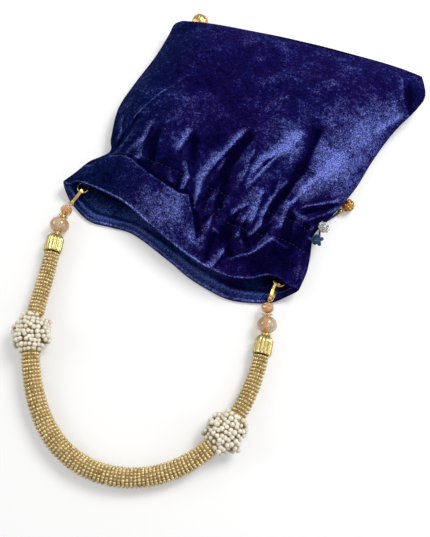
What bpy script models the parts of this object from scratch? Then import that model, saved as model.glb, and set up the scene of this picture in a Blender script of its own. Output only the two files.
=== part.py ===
"""A velvet potli bag that lies on its front, with a beaded handle clasped to two rings in its mouth.

Metres, +Z up. +X runs across the bag, +Y from the mouth to the base. The underside is flat at z = 0.
The handle swings about the line through the two rings, and each lobster clasp has a sprung trigger.
"""

from math import atan2, cos, degrees, hypot, pi, radians, sin

import bpy
import numpy as np
from mathutils import Matrix, Vector

MM = 0.001
GAP = 0.3          # what touching pieces keep between them

# Bag, in millimetres. The left and right points of the side seams, from the mouth to the base.
MOUTH_LEFT, MOUTH_RIGHT = (-104.5, -34.8), (78.6, -54.4)
COLLAR_LEFT, COLLAR_RIGHT = (-99.0, -25.0), (79.8, -41.0)
LOW_STITCH_LEFT, LOW_STITCH_RIGHT = (-93.0, -14.0), (78.6, -29.0)
HIGH_STITCH_LEFT, HIGH_STITCH_RIGHT = (-82.5, -2.0), (76.5, -13.0)
NECK_LEFT, NECK_RIGHT = (-86.0, 9.0), (82.5, 0.4)
HIP_LEFT, HIP_RIGHT = (-90.0, 33.0), (93.5, 29.0)
WAIST_LEFT, WAIST_RIGHT = (-86.6, 58.0), (99.2, 55.0)
LOW_LEFT, LOW_RIGHT = (-81.2, 84.0), (107.6, 83.0)
FLARE_LEFT, FLARE_RIGHT = (-78.3, 104.3), (118.4, 106.6)
CORNER_LEFT, CORNER_RIGHT = (-77.8, 116.4), (121.6, 120.8)
BASE_LEFT, BASE_RIGHT = (-73.0, 121.9), (115.4, 135.9)
MOUTH_HEIGHT = 18.0
NECK_HEIGHT = 25.0
BODY_HEIGHT = 30.0
CORNER_HEIGHT = 20.0
MOUTH_SEAM_Z = 10.0
NECK_SEAM_Z = 10.5
BODY_SEAM_Z = 12.0
BASE_SEAM_Z = 13.5
TOP_SLOPE_WIDTH = 45.0     # how far in from a seam the upper panel reaches its full height
UNDER_SLOPE_WIDTH = 27.0   # and the lower panel its full depth
LIP_SLOPE_WIDTH = 17.0     # the same of the front lip
LIP_RISE = 0.8             # the front lip stands this far off the floor
BASE_BOW = 5.6
GATHERS = 9                # folds across one panel
GATHER_DEPTH = 1.5
VELVET = 1.2
LINING = 0.8
LINING_EASE = 0.9          # the lining is cut this much smaller than the velvet all round
CHANNEL_INSET = 6.6        # the lining's depth under the velvet where the drawstrings run
# The two lips, as how far each leaves the straight line between the corners of the mouth:
# (place across from -1 to 1, millimetres towards the base).
BACK_LIP = ((-1, 0), (-0.93, -1.2), (-0.86, 3.2), (-0.58, 3.3), (-0.4, 1.4), (-0.2, -4.6), (0, -10),
            (0.17, -13.3), (0.33, -15.1), (0.5, -14.3), (0.64, -9), (0.74, -2), (0.82, 0.2), (0.92, -1), (1, 0))
FRONT_LIP = ((-1, 0), (-0.94, -5.8), (-0.86, -10.6), (-0.7, -15.5), (-0.53, -12.8), (-0.33, -10.6), (0, -17.2),
             (0.18, -21.8), (0.36, -24), (0.52, -24.1), (0.67, -20.2), (0.82, -14), (0.91, -7), (1, 0))

# Drawstrings, tails and the charms on them
CORD_RADIUS = 1.1
TAIL_RADIUS = 0.8
EYELET_RADIUS = 3.9
KNOT_RADIUS = 3.9
HIDDEN_KNOT_RADIUS = 3.0
CHARM_RADIUS = 4.4
CHARM_STONES = 9
BALL_RADIUS = 6.6
FILIGREE_RADIUS = 4.7
SPACER_RADIUS = 1.9
BALL_CENTRE = (-61.6, 130.4)
FILIGREE_CENTRE = (92.9, 19.2)
SPACER_CENTRE = (89.0, 13.8)
LEFT_CORD_PLACE = 2.33     # each drawstring runs in its own half of the channel, at this place
RIGHT_CORD_PLACE = 2.72
LEFT_TAIL_WAY = ((-83, 4, 2.0), (-83, 26, 1.5), (-83.5, 50, 1.0), (-79.5, 76, 1.0), (-75.5, 100, 1.3),
                 (-72, 116, 2.7))
RIGHT_TAIL_WAY = (79.5, -2.0, 2.0)

# Rings and the tabs that hold them
LEFT_PIVOT, RIGHT_PIVOT = (-89.6, -38.3), (63.8, -56.5)
PIVOT_Z = 9.7
RING_RADIUS = 4.0
RING_WIRE = 0.55
TAB_WIDTH = 5.0
TAB_THICKNESS = 2.4
TAB_LENGTH = 5.5

# Lobster clasps: distances along a clasp are from the wire that it hooks
CLASP_THICKNESS = 2.0
CLASP_ROLL = 25.0
HOOK_BORE = 2.1
HOOK_BAND = 1.3
OPENING_LENGTH = 3.9
HOOK_TIP_ANGLE = 75.0
TRIGGER_AT = (5.5, 1.1)
TRIGGER_THICKNESS = 0.8
TRIGGER_ARM = 1.1
TRIGGER_BOSS = 1.25
THUMB_TAB = ((2.15, 2.35), (1.7, 2.9), (0.9, 2.6), (0.1, TRIGGER_BOSS))   # the lever's thumb end, from its pin
PIN_RADIUS = 0.45
PIN_CLEARANCE = 0.25
SLOT_CLEARANCE = 0.25
EYE_AT = 9.3
SLOT_END = 7.6
BODY_HALF_WIDTH = 2.6
EYE_BORE = 1.0
EYE_BAND = 0.9

# Beads, rondelles and caps, in the order in which they are strung
WIRE_RADIUS = 0.4
WIRE_LOOP_RADIUS = 1.6
BEAD_BORE = 0.8
SMALL_BEAD = (8.8, 7.4)    # diameter, length along the wire
BIG_BEAD = (13.6, 12.0)
RONDELLE = (7.6, 1.4)
END_CAP = (12.6, 12.6)
CAP_FLUTES = 14
CAP_BORE_DEPTH = 9.5
STRING_GAP = 0.2

# Beaded tube
CORE_RADIUS = 4.2
SLEEVE_RADIUS_ENDS = 5.4
SLEEVE_RADIUS_MIDDLE = 6.4
ROW_PITCH = 2.45
ROW_RELIEF = 0.45
LEFT_PEARLS_AT = 107.0     # along the handle from each pivot
RIGHT_PEARLS_AT = 104.0
PEARLS_LENGTH = 25.0
PEARLS_RADIUS = 12.3
PEARLS_FLATTENED = 9.2     # half their height, where they lie on the table
PEARL = 4.0

# The handle's way round on the table: a stretch from each pivot, and the middle between them
LEFT_STRETCH = ((0, 0, PIVOT_Z), (-4.2, -16.1, 8.3), (-4.6, -26.1, 7.1), (-2.3, -41.0, 6.9), (1.8, -61.2, 6.7))
MIDDLE_STRETCH = ((-84.4, -118.5, 7.9), (-78.7, -141.5, 9.6), (-68.1, -165.9, 8.2), (-51.6, -187.8, 6.8),
                  (-28.4, -203.7, 6.7), (3.1, -207.6, 6.7), (31.4, -197.5, 6.8), (50.1, -180.9, 8.2),
                  (63.2, -157.7, 9.6), (68.7, -134.9, 8.0))
RIGHT_STRETCH = ((5.8, -60.7, 6.7), (4.3, -41.5, 6.9), (1.8, -26.6, 7.1), (-1.1, -17.2, 8.3), (0, 0, PIVOT_Z))

PALETTE = {
    "velvet": ((0.010, 0.008, 0.075), 0.85, 0.0),
    "lining_cloth": ((0.012, 0.010, 0.060), 0.60, 0.0),
    "cord": ((0.050, 0.090, 0.200), 0.80, 0.0),
    "gold": ((0.80, 0.56, 0.20), 0.25, 1.0),
    "silver": ((0.75, 0.74, 0.72), 0.20, 1.0),
    "glass": ((0.85, 0.60, 0.42), 0.08, 0.0),
    "beadwork": ((0.62, 0.50, 0.28), 0.35, 0.6),
    "pearl": ((0.80, 0.74, 0.62), 0.22, 0.0),
    "padding": ((0.70, 0.66, 0.58), 0.90, 0.0),
}

for old in list(bpy.data.objects):
    bpy.data.objects.remove(old)


def material(name):
    """The Principled material of this name, made once."""
    found = bpy.data.materials.get(name)
    if found:
        return found
    colour, roughness, metallic = PALETTE[name]
    made = bpy.data.materials.new(name)
    made.use_nodes = True
    shader = made.node_tree.nodes["Principled BSDF"]
    shader.inputs["Base Color"].default_value = (*colour, 1)
    shader.inputs["Roughness"].default_value = roughness
    shader.inputs["Metallic"].default_value = metallic
    return made


def add(name, points, faces, finish, place=None, smooth=True):
    """A mesh object from points in millimetres, at a placement in millimetres."""
    mesh = bpy.data.meshes.new(name)
    mesh.from_pydata([tuple(MM * float(value) for value in point) for point in points], [], faces)
    mesh.update()
    mesh.materials.append(material(finish))
    if smooth:
        mesh.shade_smooth()
        mesh.set_sharp_from_angle(angle=radians(40))
    made = bpy.data.objects.new(name, mesh)
    bpy.context.scene.collection.objects.link(made)
    if place is not None:
        turn = place.to_3x3().to_4x4()
        made.matrix_world = Matrix.Translation(place.translation * MM) @ turn
    return made


def boolean(target, operation, cutter):
    """Cuts or joins with a hidden helper object."""
    cutter.hide_render = True
    cutter.display_type = "WIRE"
    step = target.modifiers.new(cutter.name, "BOOLEAN")
    step.operation = operation
    step.object = cutter


def smooth_curve(points):
    """A natural cubic spline through the points: a function of the distance along their chords."""
    points = np.array(points, float)
    knots = np.concatenate([[0], np.cumsum(np.linalg.norm(np.diff(points, axis=0), axis=1))])
    step = np.diff(knots)
    count = len(points)
    system = np.eye(count)
    right = np.zeros_like(points)
    for i in range(1, count - 1):
        system[i, i - 1:i + 2] = step[i - 1], 2 * (step[i - 1] + step[i]), step[i]
        slopes = (points[i + 1] - points[i]) / step[i] - (points[i] - points[i - 1]) / step[i - 1]
        right[i] = 6 * slopes
    bend = np.linalg.solve(system, right)

    def at(distance):
        i = int(np.clip(np.searchsorted(knots, distance) - 1, 0, count - 2))
        a, b = (knots[i + 1] - distance) / step[i], (distance - knots[i]) / step[i]
        curved = ((a ** 3 - a) * bend[i] + (b ** 3 - b) * bend[i + 1]) * step[i] ** 2 / 6
        return a * points[i] + b * points[i + 1] + curved

    return at, knots[-1]


def eased(value):
    return value * value * (3 - 2 * value)


def blend(stations, place):
    """Reads a list of equal-length tuples at a place between them, as a Catmull-Rom curve."""
    stations = np.array(stations, float)
    i = int(np.clip(np.floor(place), 0, len(stations) - 2))
    t = place - i
    p0, p1, p2, p3 = (stations[int(np.clip(k, 0, len(stations) - 1))] for k in range(i - 1, i + 3))
    return p1 + 0.5 * t * (p2 - p0 + t * (2 * p0 - 5 * p1 + 4 * p2 - p3 + t * (3 * (p1 - p2) + p3 - p0)))


# One station down each side seam: left x, left y, right x, right y, height of the upper panel,
# height of the seam, share of the lips' curve and depth of the gathers.
STATIONS = (
    (*MOUTH_LEFT, *MOUTH_RIGHT, MOUTH_HEIGHT, MOUTH_SEAM_Z, 1.0, 0.0),
    (*COLLAR_LEFT, *COLLAR_RIGHT, (MOUTH_HEIGHT + NECK_HEIGHT) / 2, MOUTH_SEAM_Z, 0.65, 0.15),
    (*LOW_STITCH_LEFT, *LOW_STITCH_RIGHT, NECK_HEIGHT, NECK_SEAM_Z, 0.4, 0.8),
    (*HIGH_STITCH_LEFT, *HIGH_STITCH_RIGHT, NECK_HEIGHT, NECK_SEAM_Z, 0.2, 1.0),
    (*NECK_LEFT, *NECK_RIGHT, (NECK_HEIGHT + BODY_HEIGHT) / 2, NECK_SEAM_Z, 0.05, 0.9),
    (*HIP_LEFT, *HIP_RIGHT, BODY_HEIGHT, BODY_SEAM_Z, 0.0, 0.4),
    (*WAIST_LEFT, *WAIST_RIGHT, BODY_HEIGHT, BODY_SEAM_Z, 0.0, 0.1),
    (*LOW_LEFT, *LOW_RIGHT, BODY_HEIGHT, BODY_SEAM_Z, 0.0, 0.0),
    (*FLARE_LEFT, *FLARE_RIGHT, (BODY_HEIGHT + CORNER_HEIGHT) / 2, BASE_SEAM_Z, 0.0, 0.0),
    (*CORNER_LEFT, *CORNER_RIGHT, CORNER_HEIGHT, BASE_SEAM_Z, 0.0, 0.0),
    (*BASE_LEFT, *BASE_RIGHT, BASE_SEAM_Z, BASE_SEAM_Z, 0.0, 0.0),
)
LAST = len(STATIONS) - 1
CORNER_STATION = LAST - 1
BASE_WIDTH = hypot(BASE_RIGHT[0] - BASE_LEFT[0], BASE_RIGHT[1] - BASE_LEFT[1])
UNDER_CLOSES_FROM = 6      # the underside starts to lift towards the base seam here


def panel_heights(place, from_seam):
    """Heights of the upper and the lower panel's outer faces this far in from the nearer side seam."""
    height, seam = blend(STATIONS, place)[4:6]
    rise = 1 - max(0.0, 1 - from_seam / TOP_SLOPE_WIDTH) ** 2.4
    slope_width = LIP_SLOPE_WIDTH + (UNDER_SLOPE_WIDTH - LIP_SLOPE_WIDTH) * eased(np.clip(place / 3, 0, 1))
    lift = max(0.0, 1 - from_seam / slope_width) ** 1.6
    closing = np.clip((place - UNDER_CLOSES_FROM) / (LAST - UNDER_CLOSES_FROM), 0, 1) ** 4
    under = seam * (1 - (1 - lift) * (1 - closing)) + LIP_RISE * max(0.0, 1 - place) * (1 - lift)
    return seam + (height - seam) * rise, under


def halved(low, high, wide_enough):
    """The least value between low and high for which wide_enough holds, by halving."""
    for _ in range(40):
        middle = (low + high) / 2
        low, high = (low, middle) if wide_enough(middle) else (middle, high)
    return high


def side_inset(place, inset):
    """How far in from a side seam two faces that lie this deep under the panels meet."""
    def wide_enough(from_seam):
        top, under = panel_heights(place, from_seam)
        return top - under >= 2 * inset
    return halved(0.0, TOP_SLOPE_WIDTH, wide_enough) if inset else 0.0


def base_place(inset):
    """The place at which two faces that lie this deep under the panels meet before the base seam."""
    def closed_up(place):
        top, under = panel_heights(place, BASE_WIDTH / 2)
        return top - under <= 2 * inset + 0.02
    return halved(CORNER_STATION, LAST, closed_up) if inset else LAST


def panel_point(place, across, upper, inset=0.0, gathered=False):
    """A point of the bag's upper or lower panel: place runs 0 to LAST from mouth to base, across
    runs -1 to 1 between the side seams, and inset is how far it lies inside the outer face."""
    x0, y0, x1, y1, _, _, lips, folds = blend(STATIONS, place)
    width = hypot(x1 - x0, y1 - y0)
    edge = side_inset(place, inset) / width
    along = edge + (1 - 2 * edge) * (across + 1) / 2
    x, y = x0 + (x1 - x0) * along, y0 + (y1 - y0) * along
    lip = np.array(BACK_LIP if upper else FRONT_LIP, float)
    y += lips * np.interp(2 * along - 1, lip[:, 0], lip[:, 1])
    y += BASE_BOW * eased(np.clip((place - 3) / (LAST - 3), 0, 1)) * (1 - across ** 4)
    top, under = panel_heights(place, width * min(along, 1 - along))
    if not upper:
        return np.array([x, y, under + inset])
    if gathered:
        top += GATHER_DEPTH * folds * cos(pi * GATHERS * (across + 1)) * (1 - across ** 8)
    return np.array([x, y, top - inset])


def bag_skin(points, faces, places, around, inset, gathered):
    """Adds the bag's skin, open at the mouth and closed along the base seam, and returns its mouth's
    points. inset is a function of the place."""
    across = [2 * k / around - 1 for k in range(around + 1)]
    rows = []
    for place in places:
        depth = inset(place)
        row = [panel_point(place, u, True, depth, gathered) for u in across]
        row += [panel_point(place, u, False, depth) for u in across[-2:0:-1]]
        rows.append(range(len(points), len(points) + len(row)))
        points += row
    end = base_place(inset(LAST))
    base = range(len(points), len(points) + around + 1)
    points += [panel_point(end, u, True, inset(LAST)) for u in across]
    loop = 2 * around
    for near, far in zip(rows, rows[1:]):
        faces += [(near[k], near[(k + 1) % loop], far[(k + 1) % loop], far[k]) for k in range(loop)]
    last = rows[-1]
    for k in range(around):
        faces.append((last[k], last[k + 1], base[k + 1], base[k]))
        under, next_under = (loop - k) % loop, loop - k - 1
        faces.append((last[next_under], last[under], base[k], base[k + 1]))
    return rows[0]


def walled_bag(name, places, around, depth, wall, gathered, finish):
    """A bag of this wall: an outer skin, the same skin deeper in and turned about, and the rim between."""
    points, outer_faces, inner_faces = [], [], []
    outer = bag_skin(points, outer_faces, places, around, depth, gathered)
    inner = bag_skin(points, inner_faces, places, around, lambda place: depth(place) + wall, gathered)
    faces = outer_faces + [face[::-1] for face in inner_faces]
    loop = 2 * around
    faces += [(outer[(k + 1) % loop], outer[k], inner[k], inner[(k + 1) % loop]) for k in range(loop)]
    return add(name, points, faces, finish)


def channel_depth(place):
    """How deep the lining lies: close under the velvet, but clear of the drawstring channel."""
    ease = LINING_EASE * min(1.0, place)
    near = VELVET + GAP + ease + GATHER_DEPTH * blend(STATIONS, place)[7]
    inside = eased(np.clip((1.1 - abs(place - 2.5)) / 0.6, 0, 1))
    return near + (max(CHANNEL_INSET, near) - near) * inside


def velvet_bag():
    """The velvet, with an eyelet in each side seam for the drawstring, and the lining inside it."""
    places = [0, 0.5, 1, 1.5, 2, 2.5, 3, 3.5, 4, 5, 6, 7, 8, CORNER_STATION]
    shell = walled_bag("velvet_shell", places, 32, lambda place: 0.0, VELVET, True, "velvet")
    for side, place in (("left", LEFT_CORD_PLACE), ("right", RIGHT_CORD_PLACE)):
        seam = seam_point(side, place)
        out = Vector((-1 if side == "left" else 1, 0, 0))
        cutter = turned(f"{side}_eyelet_cutter", [(EYELET_RADIUS, -10), (EYELET_RADIUS, 5)], 12, "velvet",
                        facing(seam, out))
        boolean(shell, "DIFFERENCE", cutter)
    # The lining stops short of the lips, where it is sewn to the facing
    places = [0.3, 1, 1.5, 2, 2.5, 3, 3.5, 4, 5, 6, 7, 8, CORNER_STATION]
    walled_bag("lining", places, 20, channel_depth, LINING, False, "lining_cloth")


def seam_point(side, place):
    """A point of a side seam."""
    return Vector(panel_point(place, -1 if side == "left" else 1, True))


def facing(where, direction, up=(0, 0, 1)):
    """A placement in millimetres whose +Z looks along a direction."""
    z = Vector(direction).normalized()
    x = Vector(up).cross(z)
    if x.length < 1e-6:
        x = Vector((1, 0, 0))
    x.normalize()
    y = z.cross(x)
    turn = Matrix((x, y, z)).transposed().to_4x4()
    return Matrix.Translation(Vector(where)) @ turn


def turned(name, profile, sides, finish, place, bored=False, reach=None):
    """A turned solid from (radius, height) points that run upwards on its outer side. A bored
    profile is a closed loop. reach(angle, height) scales the radius where the piece isn't round."""
    points, faces = [], []
    for radius, height in profile:
        for k in range(sides):
            angle = 2 * pi * k / sides
            far = radius * (reach(angle, radius, height) if reach else 1)
            points.append((far * cos(angle), far * sin(angle), height))
    rings = len(profile)
    pairs = [(i, i + 1) for i in range(rings - 1)] + ([(rings - 1, 0)] if bored else [])
    for low, high in pairs:
        for k in range(sides):
            following = (k + 1) % sides
            faces.append((low * sides + k, low * sides + following, high * sides + following, high * sides + k))
    if not bored:
        faces.append(tuple(range(sides - 1, -1, -1)))
        faces.append(tuple(range((rings - 1) * sides, rings * sides)))
    return add(name, points, faces, finish, place)


def ring_mesh(name, radius, wire, finish, place, sides=20, around=6):
    profile = [(radius + wire * cos(2 * pi * k / around), wire * sin(2 * pi * k / around)) for k in range(around)]
    return turned(name, profile, sides, finish, place, bored=True)


def tube(name, centres, radii, sides, finish, bore=None, bore_every=1):
    """A tube along centres in millimetres. With a bore it is open right through."""
    centres = np.array(centres, float)
    heading = np.gradient(centres, axis=0)
    heading /= np.linalg.norm(heading, axis=1)[:, None]
    points, faces = [], []

    def ring(i, radius):
        side = np.cross((0, 0, 1), heading[i])
        side /= np.linalg.norm(side)
        up = np.cross(heading[i], side)
        for k in range(sides):
            angle = 2 * pi * k / sides
            points.append(centres[i] + radius * (cos(angle) * side + sin(angle) * up))

    def skin(first, count, closed=False):
        for i in range(count - (not closed)):
            a, b = first + i * sides, first + (i + 1) % count * sides
            faces.extend((a + k, a + (k + 1) % sides, b + (k + 1) % sides, b + k) for k in range(sides))

    for i, radius in enumerate(radii):
        ring(i, radius)
    count = len(radii)
    if bore is None:
        skin(0, count)
        faces.append(tuple(range(sides - 1, -1, -1)))
        faces.append(tuple(range((count - 1) * sides, count * sides)))
        return add(name, points, faces, finish)
    back = sorted({*range(0, count, bore_every), count - 1}, reverse=True)
    for i in back:
        ring(i, bore)
    skin(0, count + len(back), closed=True)
    return add(name, points, faces, finish)


def cord(name, route, radius, finish, pieces):
    """A soft cord through the route's points, in millimetres."""
    at, length = smooth_curve(route)
    curve = bpy.data.curves.new(name, "CURVE")
    curve.dimensions = "3D"
    curve.bevel_depth = radius * MM
    curve.bevel_resolution = 2
    curve.use_fill_caps = True
    curve.twist_mode = "MINIMUM"
    spline = curve.splines.new("POLY")
    spline.points.add(pieces)
    for i, point in enumerate(spline.points):
        point.co = (*(at(length * i / pieces) * MM), 1)
    curve.materials.append(material(finish))
    made = bpy.data.objects.new(name, curve)
    bpy.context.scene.collection.objects.link(made)
    return made


def hidden_knot_centre():
    """The left knot lies on the table, under the bag's side seam."""
    seam = seam_point("left", LEFT_CORD_PLACE)
    return Vector((seam.x + HIDDEN_KNOT_RADIUS + 0.4, seam.y, HIDDEN_KNOT_RADIUS + 0.05))


def drawstring(side, place):
    """A cord once round inside the channel, with both ends out through the eyelet to their knot."""
    depth = VELVET + 2 * GAP + GATHER_DEPTH * 0.9 + CORD_RADIUS
    sign = -1 if side == "left" else 1
    seam = seam_point(side, place)
    apart = CORD_RADIUS + GAP
    if side == "left":
        over = hidden_knot_centre() + Vector((0, 0, HIDDEN_KNOT_RADIUS + GAP))
        ends = [over + Vector((-apart, 0, 0)), over + Vector((apart, 0, 0))]
        bends = [Vector((ends[0].x, seam.y, seam.z - 0.6)), Vector((ends[1].x + 0.8, seam.y, seam.z - apart - 0.8))]
    else:
        ends = [seam + Vector((-0.6, 0, z)) for z in (apart, -apart)]
        bends = [seam + Vector((-3, 0, z)) for z in (apart, -apart)]
    inside = [seam + Vector((-sign * 7, 0, z)) for z in (apart, -apart)]
    spread = (0.85, 0.6, 0.3, 0, -0.3, -0.6, -0.85)
    route = [ends[0], bends[0], inside[0]]
    route += [panel_point(place, sign * u, True, depth) for u in spread]
    route.append(panel_point(place, -sign, True, VELVET + 6 * GAP + CORD_RADIUS))
    route += [panel_point(place, sign * u, False, depth) for u in reversed(spread)]
    route += [inside[1], bends[1], ends[1]]
    return cord(f"{side}_drawstring", route, CORD_RADIUS, "cord", 48)


def round_profile(radius, half_length, steps, bore=0.0):
    """A ball's profile, or an oblate one, from its lower end to its upper one."""
    start = 0.0 if bore == 0 else np.arcsin(bore / radius)
    profile = []
    for k in range(steps + 1):
        angle = start + (pi - 2 * start) * k / steps
        profile.append((max(radius * sin(angle), 0.02), -half_length * cos(angle)))
    return profile


def bored_ball(name, radius, half_length, bore, sides, steps, finish, place):
    profile = round_profile(radius, half_length, steps, bore)
    return turned(name, profile, sides, finish, place, bored=True)


def tails_and_charms():
    """The knots at the eyelets, the two tails and what hangs on them."""
    right = seam_point("right", RIGHT_CORD_PLACE)
    slope = Vector((0.69, 0, 0.72))
    knot = right + slope * (KNOT_RADIUS + 2 * GAP)
    profile = round_profile(KNOT_RADIUS, KNOT_RADIUS * 1.15, 6)
    turned("right_cord_knot", profile, 10, "cord", facing(knot, (0.1, 1, 0.1)))
    charm = knot + Vector((1.0, KNOT_RADIUS * 1.15 + CHARM_RADIUS + GAP, 2.6))

    def stones(angle, radius, height):
        return 1 + 0.13 * cos(CHARM_STONES * angle)

    turned("crystal_charm", round_profile(CHARM_RADIUS, CHARM_RADIUS, 8), 2 * CHARM_STONES, "silver",
           facing(charm, (0.3, 0.2, 1)), reach=stones)

    spacer = Vector((*SPACER_CENTRE, SPACER_RADIUS + 0.9))
    filigree = Vector((*FILIGREE_CENTRE, FILIGREE_RADIUS + 0.05))
    heading = filigree - spacer
    bored_ball("spacer_bead", SPACER_RADIUS, SPACER_RADIUS, TAIL_RADIUS + GAP, 10, 5, "gold", facing(spacer, heading))

    def pierced(angle, radius, height):
        return 1 + 0.06 * cos(6 * angle) * sin(pi * (height / FILIGREE_RADIUS + 1))

    turned("filigree_bead", round_profile(FILIGREE_RADIUS, FILIGREE_RADIUS, 8), 12, "gold",
           facing(filigree, heading), reach=pierced)
    along = heading.normalized()
    stop = filigree - along * (FILIGREE_RADIUS + GAP)
    start = knot + Vector((-0.5, 0.6, -KNOT_RADIUS - 2 * GAP))
    route = (start, start + Vector((1.6, 3.0, -3.6)), Vector(RIGHT_TAIL_WAY), spacer - along * 5, spacer, stop)
    cord("right_tail", route, TAIL_RADIUS, "cord", 14)

    knot = hidden_knot_centre()
    turned("left_cord_knot", round_profile(HIDDEN_KNOT_RADIUS, HIDDEN_KNOT_RADIUS * 1.15, 6), 10, "cord",
           facing(knot, (0.1, 1, 0)))
    ball = Vector((*BALL_CENTRE, BALL_RADIUS + 0.05))

    def ribbed(angle, radius, height):
        return 1 + 0.03 * cos(10 * angle)

    ball_heading = Vector((0.55, 0.83, 0))
    turned("gold_ball", round_profile(BALL_RADIUS, BALL_RADIUS, 8), 20, "gold", facing(ball, ball_heading), reach=ribbed)
    start = knot + Vector((0.2, HIDDEN_KNOT_RADIUS * 1.15 + GAP, -0.6))
    stop = ball - ball_heading.normalized() * (BALL_RADIUS + GAP)
    route = (start, *LEFT_TAIL_WAY, stop - ball_heading * 4, stop)
    cord("left_tail", route, TAIL_RADIUS, "cord", 40)


def hinge_frame():
    """The handle's hinge line: the left pivot, the right one, and the unit vectors along it and towards the bag."""
    left, right = Vector((*LEFT_PIVOT, PIVOT_Z)), Vector((*RIGHT_PIVOT, PIVOT_Z))
    axis = (right - left).normalized()
    return left, right, axis, Vector((-axis.y, axis.x, 0))


def ring_and_tab(side):
    """A ring lying flat in the mouth, and the folded tab that holds its far side under the back lip."""
    left, right, axis, inward = hinge_frame()
    pivot = left if side == "left" else right
    centre = pivot + inward * RING_RADIUS
    ring_mesh(f"{side}_bag_ring", RING_RADIUS, RING_WIRE, "gold", facing(centre, (0, 0, 1)))
    near = centre + inward * (RING_RADIUS - RING_WIRE - GAP - 1.0)
    end = near + inward * TAB_LENGTH
    sides = (axis * TAB_WIDTH / 2, -axis * TAB_WIDTH / 2)
    corners = [spot + over for spot in (end, end - inward * 1.2) for over in sides]
    roof = min(lining_roof(corner.x, corner.y) for corner in corners) - GAP
    half = TAB_THICKNESS / 2
    lines = ((near, PIVOT_Z, half), (centre + inward * (RING_RADIUS + 1.0), PIVOT_Z, half),
             (end - inward * 1.2, roof - half, half), (end, roof - half, half))
    points = []
    for where, middle, thick in lines:
        for across in (-TAB_WIDTH / 2, TAB_WIDTH / 2):
            for z in (middle - thick, middle + thick):
                spot = where + axis * across
                points.append((spot.x, spot.y, z))
    faces = [(0, 1, 3, 2), (12, 14, 15, 13)]
    for i in range(3):
        a, b = 4 * i, 4 * i + 4
        faces += [(a, a + 2, b + 2, b), (a + 1, b + 1, b + 3, a + 3), (a, b, b + 1, a + 1), (a + 2, a + 3, b + 3, b + 2)]
    tab = add(f"{side}_ring_tab", points, faces, "velvet", smooth=False)
    passage = ring_mesh(f"{side}_tab_cutter", RING_RADIUS, RING_WIRE + GAP, "velvet", facing(centre, (0, 0, 1)))
    boolean(tab, "DIFFERENCE", passage)


def lining_roof(x, y):
    """Height of the lining's inner face over a point in the mouth."""
    lip = np.array(BACK_LIP, float)
    found = []
    for place in np.linspace(0, 2, 41):
        x0, y0, x1, y1, _, _, lips, _ = blend(STATIONS, place)
        along = (x - x0) / (x1 - x0)
        there = y0 + (y1 - y0) * along + lips * np.interp(2 * along - 1, lip[:, 0], lip[:, 1])
        top, _ = panel_heights(place, (x1 - x0) * min(along, 1 - along))
        found.append((abs(there - y), top - channel_depth(place) - LINING))
    return min(found)[1]


def rounded(points, centre, radius, start, stop, steps):
    """Adds an arc, in degrees, to an outline."""
    for k in range(steps + 1):
        angle = radians(start + (stop - start) * k / steps)
        points.append((centre[0] + radius * cos(angle), centre[1] + radius * sin(angle)))


def plate(name, outline, thickness, finish, place):
    """An outline in the x-y plane given a thickness, centred on that plane."""
    count = len(outline)
    points = [(x, y, z) for z in (-thickness / 2, thickness / 2) for x, y in outline]
    faces = [tuple(range(count - 1, -1, -1)), tuple(range(count, 2 * count))]
    faces += [(k, (k + 1) % count, count + (k + 1) % count, count + k) for k in range(count)]
    return add(name, points, faces, finish, place, smooth=False)


def moved(place, x, y, z=0.0):
    return place @ Matrix.Translation((x, y, z))


def clasp(side, place):
    """A lobster clasp. Its own x runs from the hooked wire to the eye, and its y to the trigger."""
    outer = HOOK_BORE + HOOK_BAND
    outline = []
    rounded(outline, (0, 0), outer, HOOK_TIP_ANGLE, 270, 12)
    outline += [(TRIGGER_AT[0] - 1, -BODY_HALF_WIDTH - 0.5), (SLOT_END, -BODY_HALF_WIDTH + 0.4)]
    rounded(outline, (EYE_AT, 0), EYE_BORE + EYE_BAND, -110, 110, 8)
    outline += [(SLOT_END, BODY_HALF_WIDTH - 0.3), (TRIGGER_AT[0], BODY_HALF_WIDTH),
                (OPENING_LENGTH, BODY_HALF_WIDTH - 0.2), (OPENING_LENGTH, -HOOK_BORE + 1)]
    rounded(outline, (OPENING_LENGTH - 1, -HOOK_BORE + 1), 1, -20, -90, 3)
    rounded(outline, (0, 0), HOOK_BORE, 270, HOOK_TIP_ANGLE, 10)
    body = plate(f"{side}_clasp_body", outline, CLASP_THICKNESS, "gold", place)
    slot = TRIGGER_THICKNESS + 2 * SLOT_CLEARANCE
    box = [(OPENING_LENGTH - 1, -0.45), (SLOT_END, -0.45), (SLOT_END, 6), (OPENING_LENGTH - 1, 6)]
    boolean(body, "DIFFERENCE", plate(f"{side}_slot_cutter", box, slot, "gold", place))
    pin_place = moved(place, *TRIGGER_AT)
    length = CLASP_THICKNESS / 2
    bore = PIN_RADIUS + PIN_CLEARANCE
    for name, radius, where in (("pin_hole", bore, pin_place), ("eye_hole", EYE_BORE, moved(place, EYE_AT, 0))):
        cutter = turned(f"{side}_{name}_cutter", [(radius, -length - 1), (radius, length + 1)], 12, "gold", where)
        boolean(body, "DIFFERENCE", cutter)
    turned(f"{side}_trigger_pin", [(PIN_RADIUS, -length), (PIN_RADIUS, length)], 10, "gold", pin_place)
    trigger(side, pin_place)


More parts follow.
